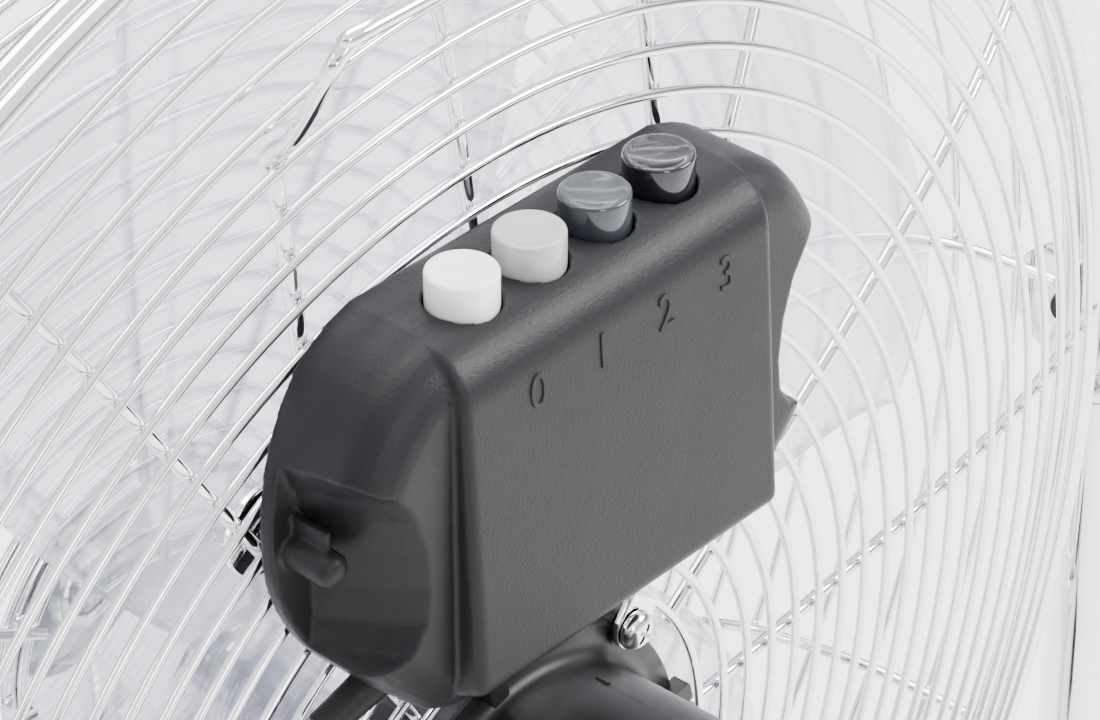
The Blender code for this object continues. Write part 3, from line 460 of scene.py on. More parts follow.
class Finish(Nodes):
    """One material with its Principled shader and object coordinates."""

    def __init__(self, name, colour, roughness, metallic=0.0, **constants):
        self.material = bpy.data.materials.new(name)
        self.material.use_nodes = True
        super().__init__(self.material.node_tree)
        self.shader = self.tree.nodes["Principled BSDF"]
        self.colour = (*colour, 1.0)
        self.shader.inputs["Base Color"].default_value = self.colour
        self.shader.inputs["Roughness"].default_value = roughness
        self.shader.inputs["Metallic"].default_value = metallic
        for key, value in constants.items():
            self.shader.inputs[key.replace("_", " ")].default_value = value
        self.place = self.add("ShaderNodeTexCoord").outputs["Object"]

    def noise(self, size, detail=3.0, rough=0.5):
        """Cloudy variation with features about size millimetres across."""
        return Value(self, self.first("ShaderNodeTexNoise", {
            "Vector": self.place, "Scale": 1.0 / (size * MM), "Detail": detail,
            "Roughness": rough}))

    def cells(self, size):
        node = self.add("ShaderNodeTexVoronoi", {"feature": "SMOOTH_F1"},
                        {"Vector": self.place, "Scale": 1.0 / (size * MM)})
        return Value(self, node.outputs["Distance"])

    def streaks(self, along, across_size):
        """Fine drawn lines that run along one axis."""
        scale = [1.0, 1.0, 1.0]
        scale[along] = 0.02
        stretch = self.first("ShaderNodeMapping", {"Vector": self.place, "Scale": scale})
        return Value(self, self.first("ShaderNodeTexNoise", {
            "Vector": stretch, "Scale": 1.0 / (across_size * MM), "Detail": 2.0}))

    def tint(self, amount, other):
        """Mixes the base colour toward another by a varying amount."""
        node = self.add("ShaderNodeMix", {"data_type": "RGBA"}, {
            "Factor": amount, 6: self.colour, 7: (*other, 1.0)})
        self.feed(self.shader.inputs["Base Color"], node.outputs[2])

    def rough(self, value):
        self.feed(self.shader.inputs["Roughness"], value)

    def bump(self, height, depth, strength=1.0):
        self.feed(self.shader.inputs["Normal"], self.first("ShaderNodeBump", {
            "Strength": strength, "Distance": depth * MM, "Height": height}))


FINISHES = {}


def finish(name):
    """The named finish, made the first time it is asked for."""
    if name not in FINISHES:
        FINISHES[name] = FINISH_MAKERS[name]().material
    return FINISHES[name]


def chrome():
    made = Finish("polished_chrome", (0.80, 0.81, 0.83), 0.06, 1.0)
    made.rough(made.noise(9.0) * 0.07 + 0.03)
    made.tint(made.noise(25.0) * 0.25, (0.68, 0.69, 0.72))
    return made


def moulded_black():
    """Spark-eroded black plastic: fine pebbles with slightly uneven gloss."""
    colours = bpy.context.scene.fan_colours
    made = Finish("moulded_black_plastic", colours.box, 0.42, 0.0,
                  Specular_IOR_Level=0.16)
    grain = made.cells(0.55) * 0.6 + made.noise(0.4, 3.0, 0.6) * 0.6
    made.bump(grain, 0.11, 0.65)
    made.rough(made.noise(0.9) * 0.12 + made.noise(14.0) * 0.08 + 0.34)
    made.tint(made.noise(22.0, 2.0) * 0.5, [c * 1.25 for c in colours.box])
    return made


def black_paint():
    made = Finish("satin_black_paint", (0.005, 0.005, 0.006), 0.36, 0.0,
                  Specular_IOR_Level=0.22)
    made.bump(made.noise(0.9, 4.0), 0.05, 0.5)
    made.rough(made.noise(6.0) * 0.12 + 0.32)
    made.tint(made.noise(18.0) * 0.4, (0.009, 0.009, 0.010))
    return made


def clear_plastic():
    made = Finish("clear_violet_plastic", (0.74, 0.74, 0.88), 0.05, 0.0, IOR=1.46,
                  Transmission_Weight=0.94, Alpha=0.6)
    made.rough(made.noise(30.0) * 0.06 + 0.02)
    made.bump(made.noise(45.0, 2.0), 0.25, 0.4)
    return made


def button_plastic(number):
    """Glossy plastic in the colour that the panel gives for this button."""
    _, name, roughness = BUTTON_FINISHES[number]
    colour = getattr(bpy.context.scene.fan_colours, "button_%d" % number)
    made = Finish(name, colour, roughness, 0.0, Coat_Weight=0.2, Coat_Roughness=0.05)
    made.rough(made.noise(3.0) * 0.06 + (roughness - 0.03))
    made.bump(made.noise(5.0, 2.0), 0.03, 0.35)
    made.tint(made.noise(7.0) * 0.25, [min(1.0, c * 1.12) for c in colour])
    return made


def rubber():
    made = Finish("soft_black_rubber", (0.006, 0.006, 0.007), 0.5, 0.0,
                  Specular_IOR_Level=0.18)
    made.bump(made.noise(0.6, 4.0), 0.06, 0.5)
    made.rough(made.noise(5.0) * 0.18 + 0.41)
    made.tint(made.noise(12.0) * 0.5, (0.009, 0.009, 0.0105))
    return made


def metal(name, colour, roughness, along=1):
    made = Finish(name, colour, roughness, 1.0)
    lines = made.streaks(along, 0.35)
    made.rough(lines * 0.2 + (roughness - 0.1))
    made.bump(lines, 0.02, 0.4)
    made.tint(made.noise(6.0) * 0.4, [c * 0.8 for c in colour])
    return made


def nylon():
    made = Finish("natural_nylon", (0.74, 0.73, 0.69), 0.45, 0.0, Subsurface_Weight=0.1)
    made.rough(made.noise(3.0) * 0.15 + 0.38)
    made.bump(made.noise(1.5), 0.03, 0.4)
    return made


def windings():
    """Enamelled copper wire wound in tight rings."""
    made = Finish("copper_windings", (0.55, 0.22, 0.08), 0.35, 1.0)
    rings = made.add("ShaderNodeTexWave", {"wave_type": "RINGS", "rings_direction": "Y"}, {
        "Vector": made.place, "Scale": 300.0, "Distortion": 2.0, "Detail": 2.0})
    made.bump(Value(made, rings.outputs[1]), 0.25, 0.6)
    made.rough(made.noise(2.0) * 0.2 + 0.28)
    return made


BUTTON_FINISHES = (            # slot, material name and roughness, button by button
    ("white_plastic", "white_button", 0.22),
    ("light_grey_plastic", "light_grey_button", 0.20),
    ("grey_plastic", "grey_button", 0.14),
    ("dark_plastic", "dark_button", 0.08))

FINISH_MAKERS = {
    "chrome": chrome,
    "black_plastic": moulded_black,
    "black_paint": black_paint,
    "clear_plastic": clear_plastic,
    "steel": lambda: metal("plain_steel", (0.48, 0.48, 0.50), 0.34),
    "bronze": lambda: metal("sintered_bronze", (0.48, 0.33, 0.17), 0.42),
    "brass": lambda: metal("nickelled_brass", (0.66, 0.60, 0.46), 0.24, 0),
    "copper": windings,
    "rubber": rubber,
    "nylon": nylon,
}
for number, (slot, _, _) in enumerate(BUTTON_FINISHES):
    FINISH_MAKERS[slot] = lambda number=number: button_plastic(number)


def settle(item, body, slot, *nodes):
    """Puts a finished piece on its body in place of the named CAD nodes."""
    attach(item, body)
    if nodes:
        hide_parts(*nodes)
    return item


# ------------------------------------------------------------------ repeating pieces

class Growth(Nodes):
    """A geometry tree with named inputs, put on an object as a modifier and baked."""

    def __init__(self, name, **sockets):
        tree = bpy.data.node_groups.new(name, "GeometryNodeTree")
        super().__init__(tree)
        tree.interface.new_socket("Geometry", in_out="OUTPUT",
                                  socket_type="NodeSocketGeometry")
        self.identifiers = {}
        for key, kind in sockets.items():
            socket = tree.interface.new_socket(key, in_out="INPUT", socket_type=kind)
            self.identifiers[key] = socket.identifier
        self.inputs = self.add("NodeGroupInput").outputs

    def given(self, key):
        return Value(self, self.inputs[key])

    def vector(self, **parts):
        return self.first("ShaderNodeCombineXYZ", parts)

    def real(self, geometry):
        return self.first("GeometryNodeRealizeInstances", {"Geometry": geometry})

    def round_about(self, piece, count, start):
        """Instances of a piece at the centre, each turned a share of the circle."""
        spots = self.first("GeometryNodePoints", {
            "Count": count, "Position": self.given("Centre"), "Radius": 0.001})
        share = Value(self, self.first("GeometryNodeInputIndex")) * (count ** -1.0)
        return self.first("GeometryNodeInstanceOnPoints", {
            "Points": spots, "Instance": piece,
            "Rotation": self.vector(Y=0.0 - (start + share * (2 * math.pi)))})

    def end(self, geometry):
        """Instances made real, then their material, then out."""
        dressed = self.first("GeometryNodeSetMaterial", {
            "Geometry": self.real(geometry), "Material": self.inputs["Finish"]})
        self.add("NodeGroupOutput", None, {"Geometry": dressed})
        return self

    def grow(self, name, **values):
        """A plain mesh grown from the tree with these input values."""
        item = link(name, bpy.data.meshes.new(name))
        step = item.modifiers.new("Growth", "NODES")
        step.node_group = self.tree
        for key, value in values.items():
            step[self.identifiers[key]] = value
        item.update_tag()
        bpy.context.view_layer.update()
        result = baked(item, name)
        shape = bmesh.new()
        shape.from_mesh(result.data)
        write_outwards(shape, result.data)
        shade(result.data)
        return result


def dished_wires():
    """Rings on a dish with straight spokes; depth grows with the radius by a rule."""
    number, whole = "NodeSocketFloat", "NodeSocketInt"
    grown = Growth("dished_wires", **{
        "Rings": whole, "First Radius": number, "Pitch": number, "Ring Wire": number,
        "Ribs": whole, "Rib Start": number, "Rib End": number, "Rib Wire": number,
        "Rib Turn": number, "Rib Offset": number, "Depth": number, "Slope": number,
        "Curl": number, "Power": number, "From": number, "Span": number,
        "Centre": "NodeSocketVector", "Finish": "NodeSocketMaterial"})

    def depth_at(radius):
        t = (radius - grown.given("From")) * (grown.given("Span") ** -1.0)
        return grown.given("Depth") + grown.given("Slope") * t \
            + grown.given("Curl") * t ** grown.given("Power")

    def swept(curve, gauge):
        profile = grown.first("GeometryNodeCurvePrimitiveCircle", {
            "Resolution": 10, "Radius": grown.given(gauge) * 0.5})
        return grown.first("GeometryNodeCurveToMesh", {
            "Curve": curve, "Profile Curve": profile, "Fill Caps": True})

    radius = grown.given("First Radius") \
        + grown.given("Pitch") * Value(grown, grown.first("GeometryNodeInputIndex"))
    spot = grown.first("ShaderNodeVectorMath", {
        0: grown.given("Centre"), 1: grown.vector(Y=0.0 - depth_at(radius))},
        {"operation": "ADD"})
    spots = grown.first("GeometryNodePoints", {
        "Count": grown.given("Rings"), "Position": spot, "Radius": 0.001})
    circle = grown.first("GeometryNodeCurvePrimitiveCircle", {
        "Resolution": 160, "Radius": 1.0})
    upright = grown.first("GeometryNodeTransform", {
        "Geometry": circle, "Rotation": (math.pi / 2, 0.0, 0.0)})
    circles = grown.first("GeometryNodeInstanceOnPoints", {
        "Points": spots, "Instance": upright,
        "Scale": grown.vector(X=radius, Y=1.0, Z=radius)})

    line = grown.first("GeometryNodeCurvePrimitiveLine", {
        "Start": grown.vector(X=grown.given("Rib Start")),
        "End": grown.vector(X=grown.given("Rib End"))})
    fine = grown.first("GeometryNodeResampleCurve", {"Curve": line, "Count": 40})
    along = grown.first("GeometryNodeInputPosition")
    out = Value(grown, grown.first("ShaderNodeSeparateXYZ", {0: along}))
    spoke = grown.first("GeometryNodeSetPosition", {
        "Geometry": fine,
        "Position": grown.vector(X=out, Y=0.0 - depth_at(out) - grown.given("Rib Offset"))})
    spokes = grown.round_about(spoke, grown.given("Ribs"), grown.given("Rib Turn"))
    both = grown.add("GeometryNodeJoinGeometry")
    for wires, gauge in ((circles, "Ring Wire"), (spokes, "Rib Wire")):
        grown.tree.links.new(swept(grown.real(wires), gauge), both.inputs[0])
    return grown.end(both.outputs[0])


def around_axis():
    """Copies of one piece, each turned a share of the circle round the fan's axis."""
    grown = Growth("around_axis", **{
        "Count": "NodeSocketInt", "First Turn": "NodeSocketFloat",
        "Centre": "NodeSocketVector", "Piece": "NodeSocketObject",
        "Finish": "NodeSocketMaterial"})
    piece = grown.add("GeometryNodeObjectInfo", None, {"Object": grown.inputs["Piece"]})
    return grown.end(grown.round_about(
        piece.outputs["Geometry"], grown.given("Count"), grown.given("First Turn")))


def copies_round(name, pattern, count, first_turn, material):
    """Grows the copies and removes the pattern piece, which is drawn about the origin."""
    result = around_axis().grow(name, **{
        "Count": count, "First Turn": math.radians(first_turn),
        "Centre": FAN_PLACE, "Piece": pattern, "Finish": material})
    bpy.data.objects.remove(pattern, do_unlink=True)
    return result


# ------------------------------------------------------------------ user's properties

def colour_of(title, words, default):
    return FloatVectorProperty(name=title, description=words, default=default,
                               subtype="COLOR", size=3, min=0.0, max=1.0)


class FanColours(PropertyGroup):
    box: colour_of("Box", "Moulded plastic of the control box", (0.0075, 0.0075, 0.009))
    button_0: colour_of("Button 0", "The off button", (0.80, 0.79, 0.76))
    button_1: colour_of("Button 1", "The slowest speed", (0.34, 0.33, 0.34))
    button_2: colour_of("Button 2", "The middle speed", (0.020, 0.024, 0.030))
    button_3: colour_of("Button 3", "The fastest speed", (0.006, 0.0055, 0.010))
    floor: colour_of("Floor", "The surface that the fan stands on", (0.86, 0.86, 0.855))


class FanSizes(PropertyGroup):
    ring_wire: FloatProperty(name="Ring wire", description="Thickness of the grille rings",
                             default=2.1 * MM, unit="LENGTH", min=0.001, max=0.003)
    rib_wire: FloatProperty(name="Rib wire", description="Thickness of the grille ribs",
                            default=3.0 * MM, unit="LENGTH", min=0.001, max=0.004)
    rim_wire: FloatProperty(name="Rim wire", description="Thickness of the two rims",
                            default=5.0 * MM, unit="LENGTH", min=0.003, max=0.006)
    ribs: IntProperty(name="Ribs", description="Spokes in each grille",
                      default=RIB_COUNT, min=3, max=24)
    blade_phase: FloatProperty(name="Blade phase", description="Where the blades stopped",
                               default=math.radians(1.5), unit="ROTATION")
    box_grid: FloatProperty(name="Box grid", description="Fineness of the box's surface",
                            default=0.45 * MM, unit="LENGTH", min=0.0004, max=0.003)


class FanStudio(PropertyGroup):
    lens: FloatProperty(name="Lens", description="Focal length of the camera in mm",
                        default=152.06, min=20.0, max=300.0)
    key: FloatProperty(name="Key light", description="Strength of the large soft light",
                       default=60.0, unit="POWER", min=0.0)
    fill: FloatProperty(name="Fill light", description="Strength of the side lights",
                        default=14.0, unit="POWER", min=0.0)
    sky: FloatProperty(name="Surroundings", description="Strength of the pale room",
                       default=2.1, min=0.0, max=5.0)


# ------------------------------------------------------------------ stage

class FAN_OT_stage(Operator):
    """Lays the pale floor, hangs the soft lights and sets up the camera"""
    bl_idname = "fan.stage"
    bl_label = "Stage"

    def execute(self, context):
        studio = context.scene.fan_studio
        turn, rise = math.radians(CAMERA_TURN), math.radians(CAMERA_RISE)
        back = Vector((math.sin(turn) * math.cos(rise), -math.cos(turn) * math.cos(rise),
                       math.sin(rise)))
        lens = bpy.data.cameras.new("fan_camera")
        lens.lens = studio.lens
        lens.sensor_width = 36.0
        lens.clip_end = 60.0
        camera = link("fan_camera", lens)
        camera.location = Vector(CAMERA_TARGET) + back * CAMERA_DISTANCE
        camera.rotation_euler = back.to_track_quat("Z", "Y").to_euler()
        context.scene.camera = camera
        self.lay_floor(context)
        self.fill_room(context, studio.sky)
        middle = Vector((0.0, 0.0, 0.35))
        self.hang("key_light", (-1.0, 0.95, 1.25), middle, 0.9, 0.6, studio.key)
        self.hang("top_light", (-0.2, -0.6, 1.9), middle, 1.6, 1.2, studio.key * 1.3)
        self.hang("side_light", (0.75, 1.7, 1.1), middle, 0.5, 0.8, studio.fill)
        self.hang("back_light", (1.5, -0.9, 0.9), middle, 0.4, 1.3, studio.fill)
        return {"FINISHED"}

    def lay_floor(self, context):
        """A wide floor that sweeps up gently far behind the fan."""
        rows = [(-6.0, 0.0), (5.0, 0.0)]
        rows += [(y, 1.5 + z) for y, z in arc((5.0, 0.0), 1.5, -90, 0, 8)[1:]]
        verts, faces = [], []
        for y, z in rows:
            verts += [(-7.0, y, z), (7.0, y, z)]
        for i in range(len(rows) - 1):
            faces.append([2 * i, 2 * i + 1, 2 * i + 3, 2 * i + 2])
        mesh = bpy.data.meshes.new("studio_floor")
        mesh.from_pydata(verts, [], faces)
        mesh.shade_smooth()
        floor = link("studio_floor", mesh)
        made = Finish("pale_floor", context.scene.fan_colours.floor, 0.6)
        made.rough(made.noise(120.0) * 0.1 + 0.55)
        mesh.materials.append(made.material)

    def fill_room(self, context, strength):
        """Pale surroundings: bright above, grey just over the horizon."""
        world = bpy.data.worlds.new("pale_room")
        world.use_nodes = True
        context.scene.world = world
        room = Nodes(world.node_tree)
        place = room.add("ShaderNodeTexCoord").outputs["Generated"]
        height = room.add("ShaderNodeSeparateXYZ", None, {0: place}).outputs[2]
        ramp = room.first("ShaderNodeValToRGB", {0: height}, {"stops": (
            (0.0, (0.70, 0.70, 0.71, 1.0)), (0.05, (0.22, 0.22, 0.23, 1.0)),
            (0.26, (0.20, 0.20, 0.21, 1.0)), (0.42, (0.95, 0.96, 0.98, 1.0)),
            (1.0, (1.0, 1.0, 1.0, 1.0)))})
        ground = world.node_tree.nodes["Background"]
        room.feed(ground.inputs["Color"], ramp)
        ground.inputs["Strength"].default_value = strength

    def hang(self, name, place, target, width, height, power):
        light = bpy.data.lights.new(name, "AREA")
        light.shape = "RECTANGLE"
        light.size = width
        light.size_y = height
        light.energy = power
        lamp = link(name, light)
        lamp.location = place
        aim = Vector(place) - target
        lamp.rotation_euler = aim.to_track_quat("Z", "Y").to_euler()


# ------------------------------------------------------------------ mains cord

def coil_points():
    """Six turns in two layers: inward along the surface, up, and outward on top."""
    gauge = CORD_DIAMETER
    outer = COIL_MEAN_RADIUS + gauge
    low, high = gauge / 2, gauge * 1.5
    moves = [(300, 360, "radius", -gauge), (660, 720, "radius", -gauge),
             (960, 1020, "height", high - low), (1260, 1320, "radius", gauge),
             (1620, 1680, "radius", gauge)]
    points = []
    for turn in range(0, 2250 + 1, 10):
        radius, height = outer, low
        for start, stop, kind, amount in moves:
            share = min(1.0, max(0.0, (turn - start) / (stop - start)))
            share = share * share * (3 - 2 * share)
            if kind == "radius":
                radius += amount * share
            else:
                height += amount * share
        angle = math.radians(turn)
        points.append(Vector((COIL_CENTRE[0] + radius * math.cos(angle),
                              COIL_CENTRE[1] + radius * math.sin(angle), height)))
    return points


class FAN_OT_cord(Operator):
    """Runs the mains cord from its strain relief down to the coil and the plug"""
    bl_idname = "fan.cord"
    bl_label = "Mains cord"

    def execute(self, context):
        coil = coil_points()
        down = smooth_route(list(CORD_ROUTE) + [coil[0]])[:-1]
        tail = smooth_route([coil[-1]] + list(TAIL_ROUTE))[1:]
        points = [Vector(p) * MM for p in down + coil + tail]
        cord = tube("mains_cord", points, CORD_DIAMETER / 2, finish("rubber"), 16)
        settle(cord, "stand", "rubber", "cord", "cord_tail", "cord_coil")
        start = TAIL_ROUTE[-1][0] - GAP
        level, middle = PLUG_RADIUS, TAIL_ROUTE[-1][1]

        def about_plug(radius, angle, out):
            return world(start - out, middle + radius * math.cos(angle),
                         level + radius * math.sin(angle))

        profile = [(0, 0), (4.6, 0), (5.0, 1.0)]
        for rib in range(5):
            out = 2.0 + 3.2 * rib
            profile += [(5.4 + rib * 0.9, out), (5.5 + rib * 0.9, out + 1.6),
                        (4.7 + rib * 0.9, out + 1.9), (4.8 + rib * 0.9, out + 2.9)]
        profile += [(10.5, 19.0), (12.4, 23.0), (13.6, 31.0), (14.2, 37.0), (15.4, 39.2),
                    (17.4, 40.0), (18.0, 40.8), (18.0, 51.0), (17.2, 51.9), (0, 52.0)]
        plug = turned("plug_body", profile, about_plug, 64, finish("rubber"))
        settle(plug, "stand", "rubber", "plug")
        gland = self.build_gland()
        return {"FINISHED"}

    def build_gland(self):
        """The tapered strain relief at the box's lower corner."""
        start = Vector(GLAND_START)
        along = Vector(GLAND_WAY).normalized()
        side = Vector((0.0, 1.0, 0.0))
        other = along.cross(side)

        def about_gland(radius, angle, out):
            point = start + along * out + side * radius * math.cos(angle)
            point += other * radius * math.sin(angle)
            return head(*point)

        profile = [(0, -6.5), (4.6, -6.5), (4.6, 6.0), (4.3, 7.2), (4.0, 8.0),
                   (3.85, 10.0), (3.7, 13.0), (3.55, 17.0), (3.5, 20.8), (3.3, 21.4),
                   (0, 21.4)]
        gland = turned("cord_strain_relief", profile, about_gland, 48, finish("rubber"))
        return settle(gland, "head", "rubber", "cord_gland")


# ------------------------------------------------------------------ cage

class FAN_OT_cage(Operator):
    """Grows both wire grilles, their rims, screw eyes, clips and badge"""
    bl_idname = "fan.cage"
    bl_label = "Wire cage"

    def execute(self, context):
        sizes = context.scene.fan_sizes
        wires = dished_wires()
        shared = {"Ring Wire": sizes.ring_wire, "Rib Wire": sizes.rib_wire,
                  "Ribs": sizes.ribs, "Centre": FAN_PLACE, "Finish": finish("chrome"),
                  "Pitch": RING_PITCH * MM}
        weld = (sizes.ring_wire + sizes.rib_wire) / 2 - 0.3 * MM
        reach = RING_PITCH * (RING_COUNT - 1) * MM
        rear = wires.grow("rear_wires", **{
            **shared, "Rings": RING_COUNT, "First Radius": RING_FIRST * MM,
            "Rib Start": 53.5 * MM, "Rib End": 227.6 * MM, "Rib Turn": math.radians(RIB_TURN),
            "Rib Offset": weld, "Depth": DOME_DEPTH * MM, "Slope": DOME_SLOPE * MM,
            "Curl": DOME_CURL * MM, "Power": 4.0, "From": RING_FIRST * MM, "Span": reach})
        settle(rear, "head", "chrome", "rear_grille")
        front = wires.grow("front_wires", **{
            **shared, "Rings": FRONT_COUNT, "First Radius": FRONT_FIRST * MM,
            "Rib Start": (FRONT_FIRST - 1.0) * MM, "Rib End": (FRONT_REACH + 0.5) * MM,
            "Rib Turn": math.radians(FRONT_RIB_TURN), "Rib Offset": -weld,
            "Depth": FRONT_DEPTH * MM, "Slope": 0.0, "Curl": -FRONT_DROP * MM,
            "Power": 3.0, "From": 0.0, "Span": FRONT_REACH * MM})
        settle(front, "head", "chrome", "front_grille")
        for number, (radius, depth) in enumerate(SIDE_RINGS):
            self.ring("side_ring_%d" % (number + 1), radius, depth, 2.1)
        self.ring("rear_rim", CAGE_RADIUS, REAR_RIM_DEPTH, sizes.rim_wire / MM)
        self.ring("front_rim", CAGE_RADIUS, FRONT_RIM_DEPTH, sizes.rim_wire / MM)
        self.side_ribs(sizes.rib_wire / MM)
        self.screw_eyes()
        self.rim_clips()
        badge = turned("badge_disc", [
            (0, 119.6), (40.6, 119.4), (41.6, 119.8), (42.0, 120.4), (41.6, 121.0),
            (40.4, 121.5), (37.6, 121.6), (37.0, 121.2), (36.4, 121.7), (20.0, 122.3),
            (0, 122.4)], about_fan_axis, 96, finish("chrome"))
        settle(badge, "head", "chrome", "badge_plate")
        self.clamp_bar()
        return {"FINISHED"}

    def ring(self, name, radius, depth, gauge):
        profile = [(radius + a, depth + b) for a, b in arc((0, 0), gauge / 2, 0, 330, 11)]
        ring = turned(name, profile, about_fan_axis, 192, finish("chrome"))
        settle(ring, "head", "chrome")

    def side_ribs(self, gauge):
        """The front spokes bend back over the side rings down to the front rim."""
        bend = ((190.0, 103.4, 0), (199.0, 101.0, 0), (206.0, 97.2, 0), (216.5, 85.8, 0),
                (223.2, 72.0, 0), (225.7, 57.0, 0), (226.4, 45.0, 0))
        points = [pattern_place(*p) for p in smooth_route(bend, 5)]
        pattern = baked(tube("side_rib", points, gauge / 2, finish("chrome"), 12))
        ribs = copies_round("front_side_ribs", pattern, RIB_COUNT, FRONT_RIB_TURN,
                            finish("chrome"))
        settle(ribs, "head", "chrome")

    def screw_eyes(self):
        """Flat eyes welded to the innermost ring, one over each motor screw."""
        outline = arc((SCREW_CIRCLE, 0.0), 4.7, 90, 270, 16)
        outline += [(RING_FIRST + 0.4, -4.7), (RING_FIRST + 0.4, 4.7)]
        pattern = prism("screw_eye", outline, 7.6, 9.4, pattern_place)
        hole = prism("eye_hole", arc((SCREW_CIRCLE, 0.0), SCREW_HOLE, 0, 345, 23), 5.0, 12.0,
                     pattern_place)
        pattern = baked(soften(combine(pattern, [hole], "DIFFERENCE"), 0.3))
        eyes = copies_round("screw_eyes", pattern, 4, SCREW_TURNS[0], finish("chrome"))
        settle(eyes, "head", "chrome")

    def rim_clips(self):
        """Six bent channels that hold the rims together."""
        inside, lip = CAGE_RADIUS + 2.9, CAGE_RADIUS - 1.0
        outline = [(31.2, lip), (33.2, lip), (33.2, inside), (44.8, inside), (44.8, lip),
                   (46.8, lip), (46.8, inside + 2.0), (31.2, inside + 2.0)]
        pattern = prism("rim_clip", outline, -9.0, 9.0,
                        lambda d, side, out: pattern_place(out, d, side))
        pattern = baked(soften(pattern, 0.6, 3))
        clips = copies_round("rim_clips", pattern, 6, 30, finish("chrome"))
        names = ["rim_clip_%d" % (number + 1) for number in range(6)]
        settle(clips, "head", "chrome", *names)

    def clamp_bar(self):
        """The chrome strip inside the cage that the control box is screwed to."""
        low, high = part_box("box_clamp_bar")
        end = arc((CLAMP_HALF - CLAMP_END, PEG_HEIGHT), CLAMP_END, -90, 90, 24)
        outline = end + [(-x, 2 * PEG_HEIGHT - h) for x, h in end]
        rear, front = FAN_Y - high[1] / MM, FAN_Y - low[1] / MM
        bar = prism("clamp_strip", outline, rear, front, head, finish("chrome"))
        hole = [(0, rear - 5), (SCREW_HOLE, rear - 5), (SCREW_HOLE, front + 5),
                (0, front + 5)]
        holes = [turned("strip_hole", hole, about_depth_line(x, PEG_HEIGHT), 32)
                 for x in (-30.0, 30.0)]
        bar = baked(soften(combine(bar, holes, "DIFFERENCE"), 0.3))
        settle(bar, "head", "chrome", "box_clamp_bar")


class FAN_OT_handle(Operator):
    """Bends the wire carrying handle"""
    bl_idname = "fan.handle"
    bl_label = "Carrying handle"

    def execute(self, context):
        half = [(49.0 + 0.02 * (h - 137.0), h) for h in (137.0, 147.0, 157.0, 167.0, 175.0)]
        inner = 1.05 + HANDLE_RADIUS + 0.4
        leg = [(x, dome_depth(math.hypot(x, h)) + inner, h) for x, h in half]
        leg += [(49.8, 25.6, 177.2), (49.8, 23.4, 180.2), (49.8, 19.6, 183.6),
                (49.8, 15.4, 190.2), (49.8, 11.9, 196.6)]
        for x, rise in arc((41.0, 0.0), 9.0, 20, 90, 6):
            leg.append((x, 9.8 - rise / 4, 199.5 + rise * 0.87))
        path = leg + [(-x, d, h) for x, d, h in reversed(leg)]
        points = smooth_route([head(*p) for p in path], 5)
        wire = baked(tube("carrying_handle", points, HANDLE_RADIUS, finish("chrome"), 20))
        settle(wire, "head", "chrome", "handle")
        return {"FINISHED"}


# ------------------------------------------------------------------ motor

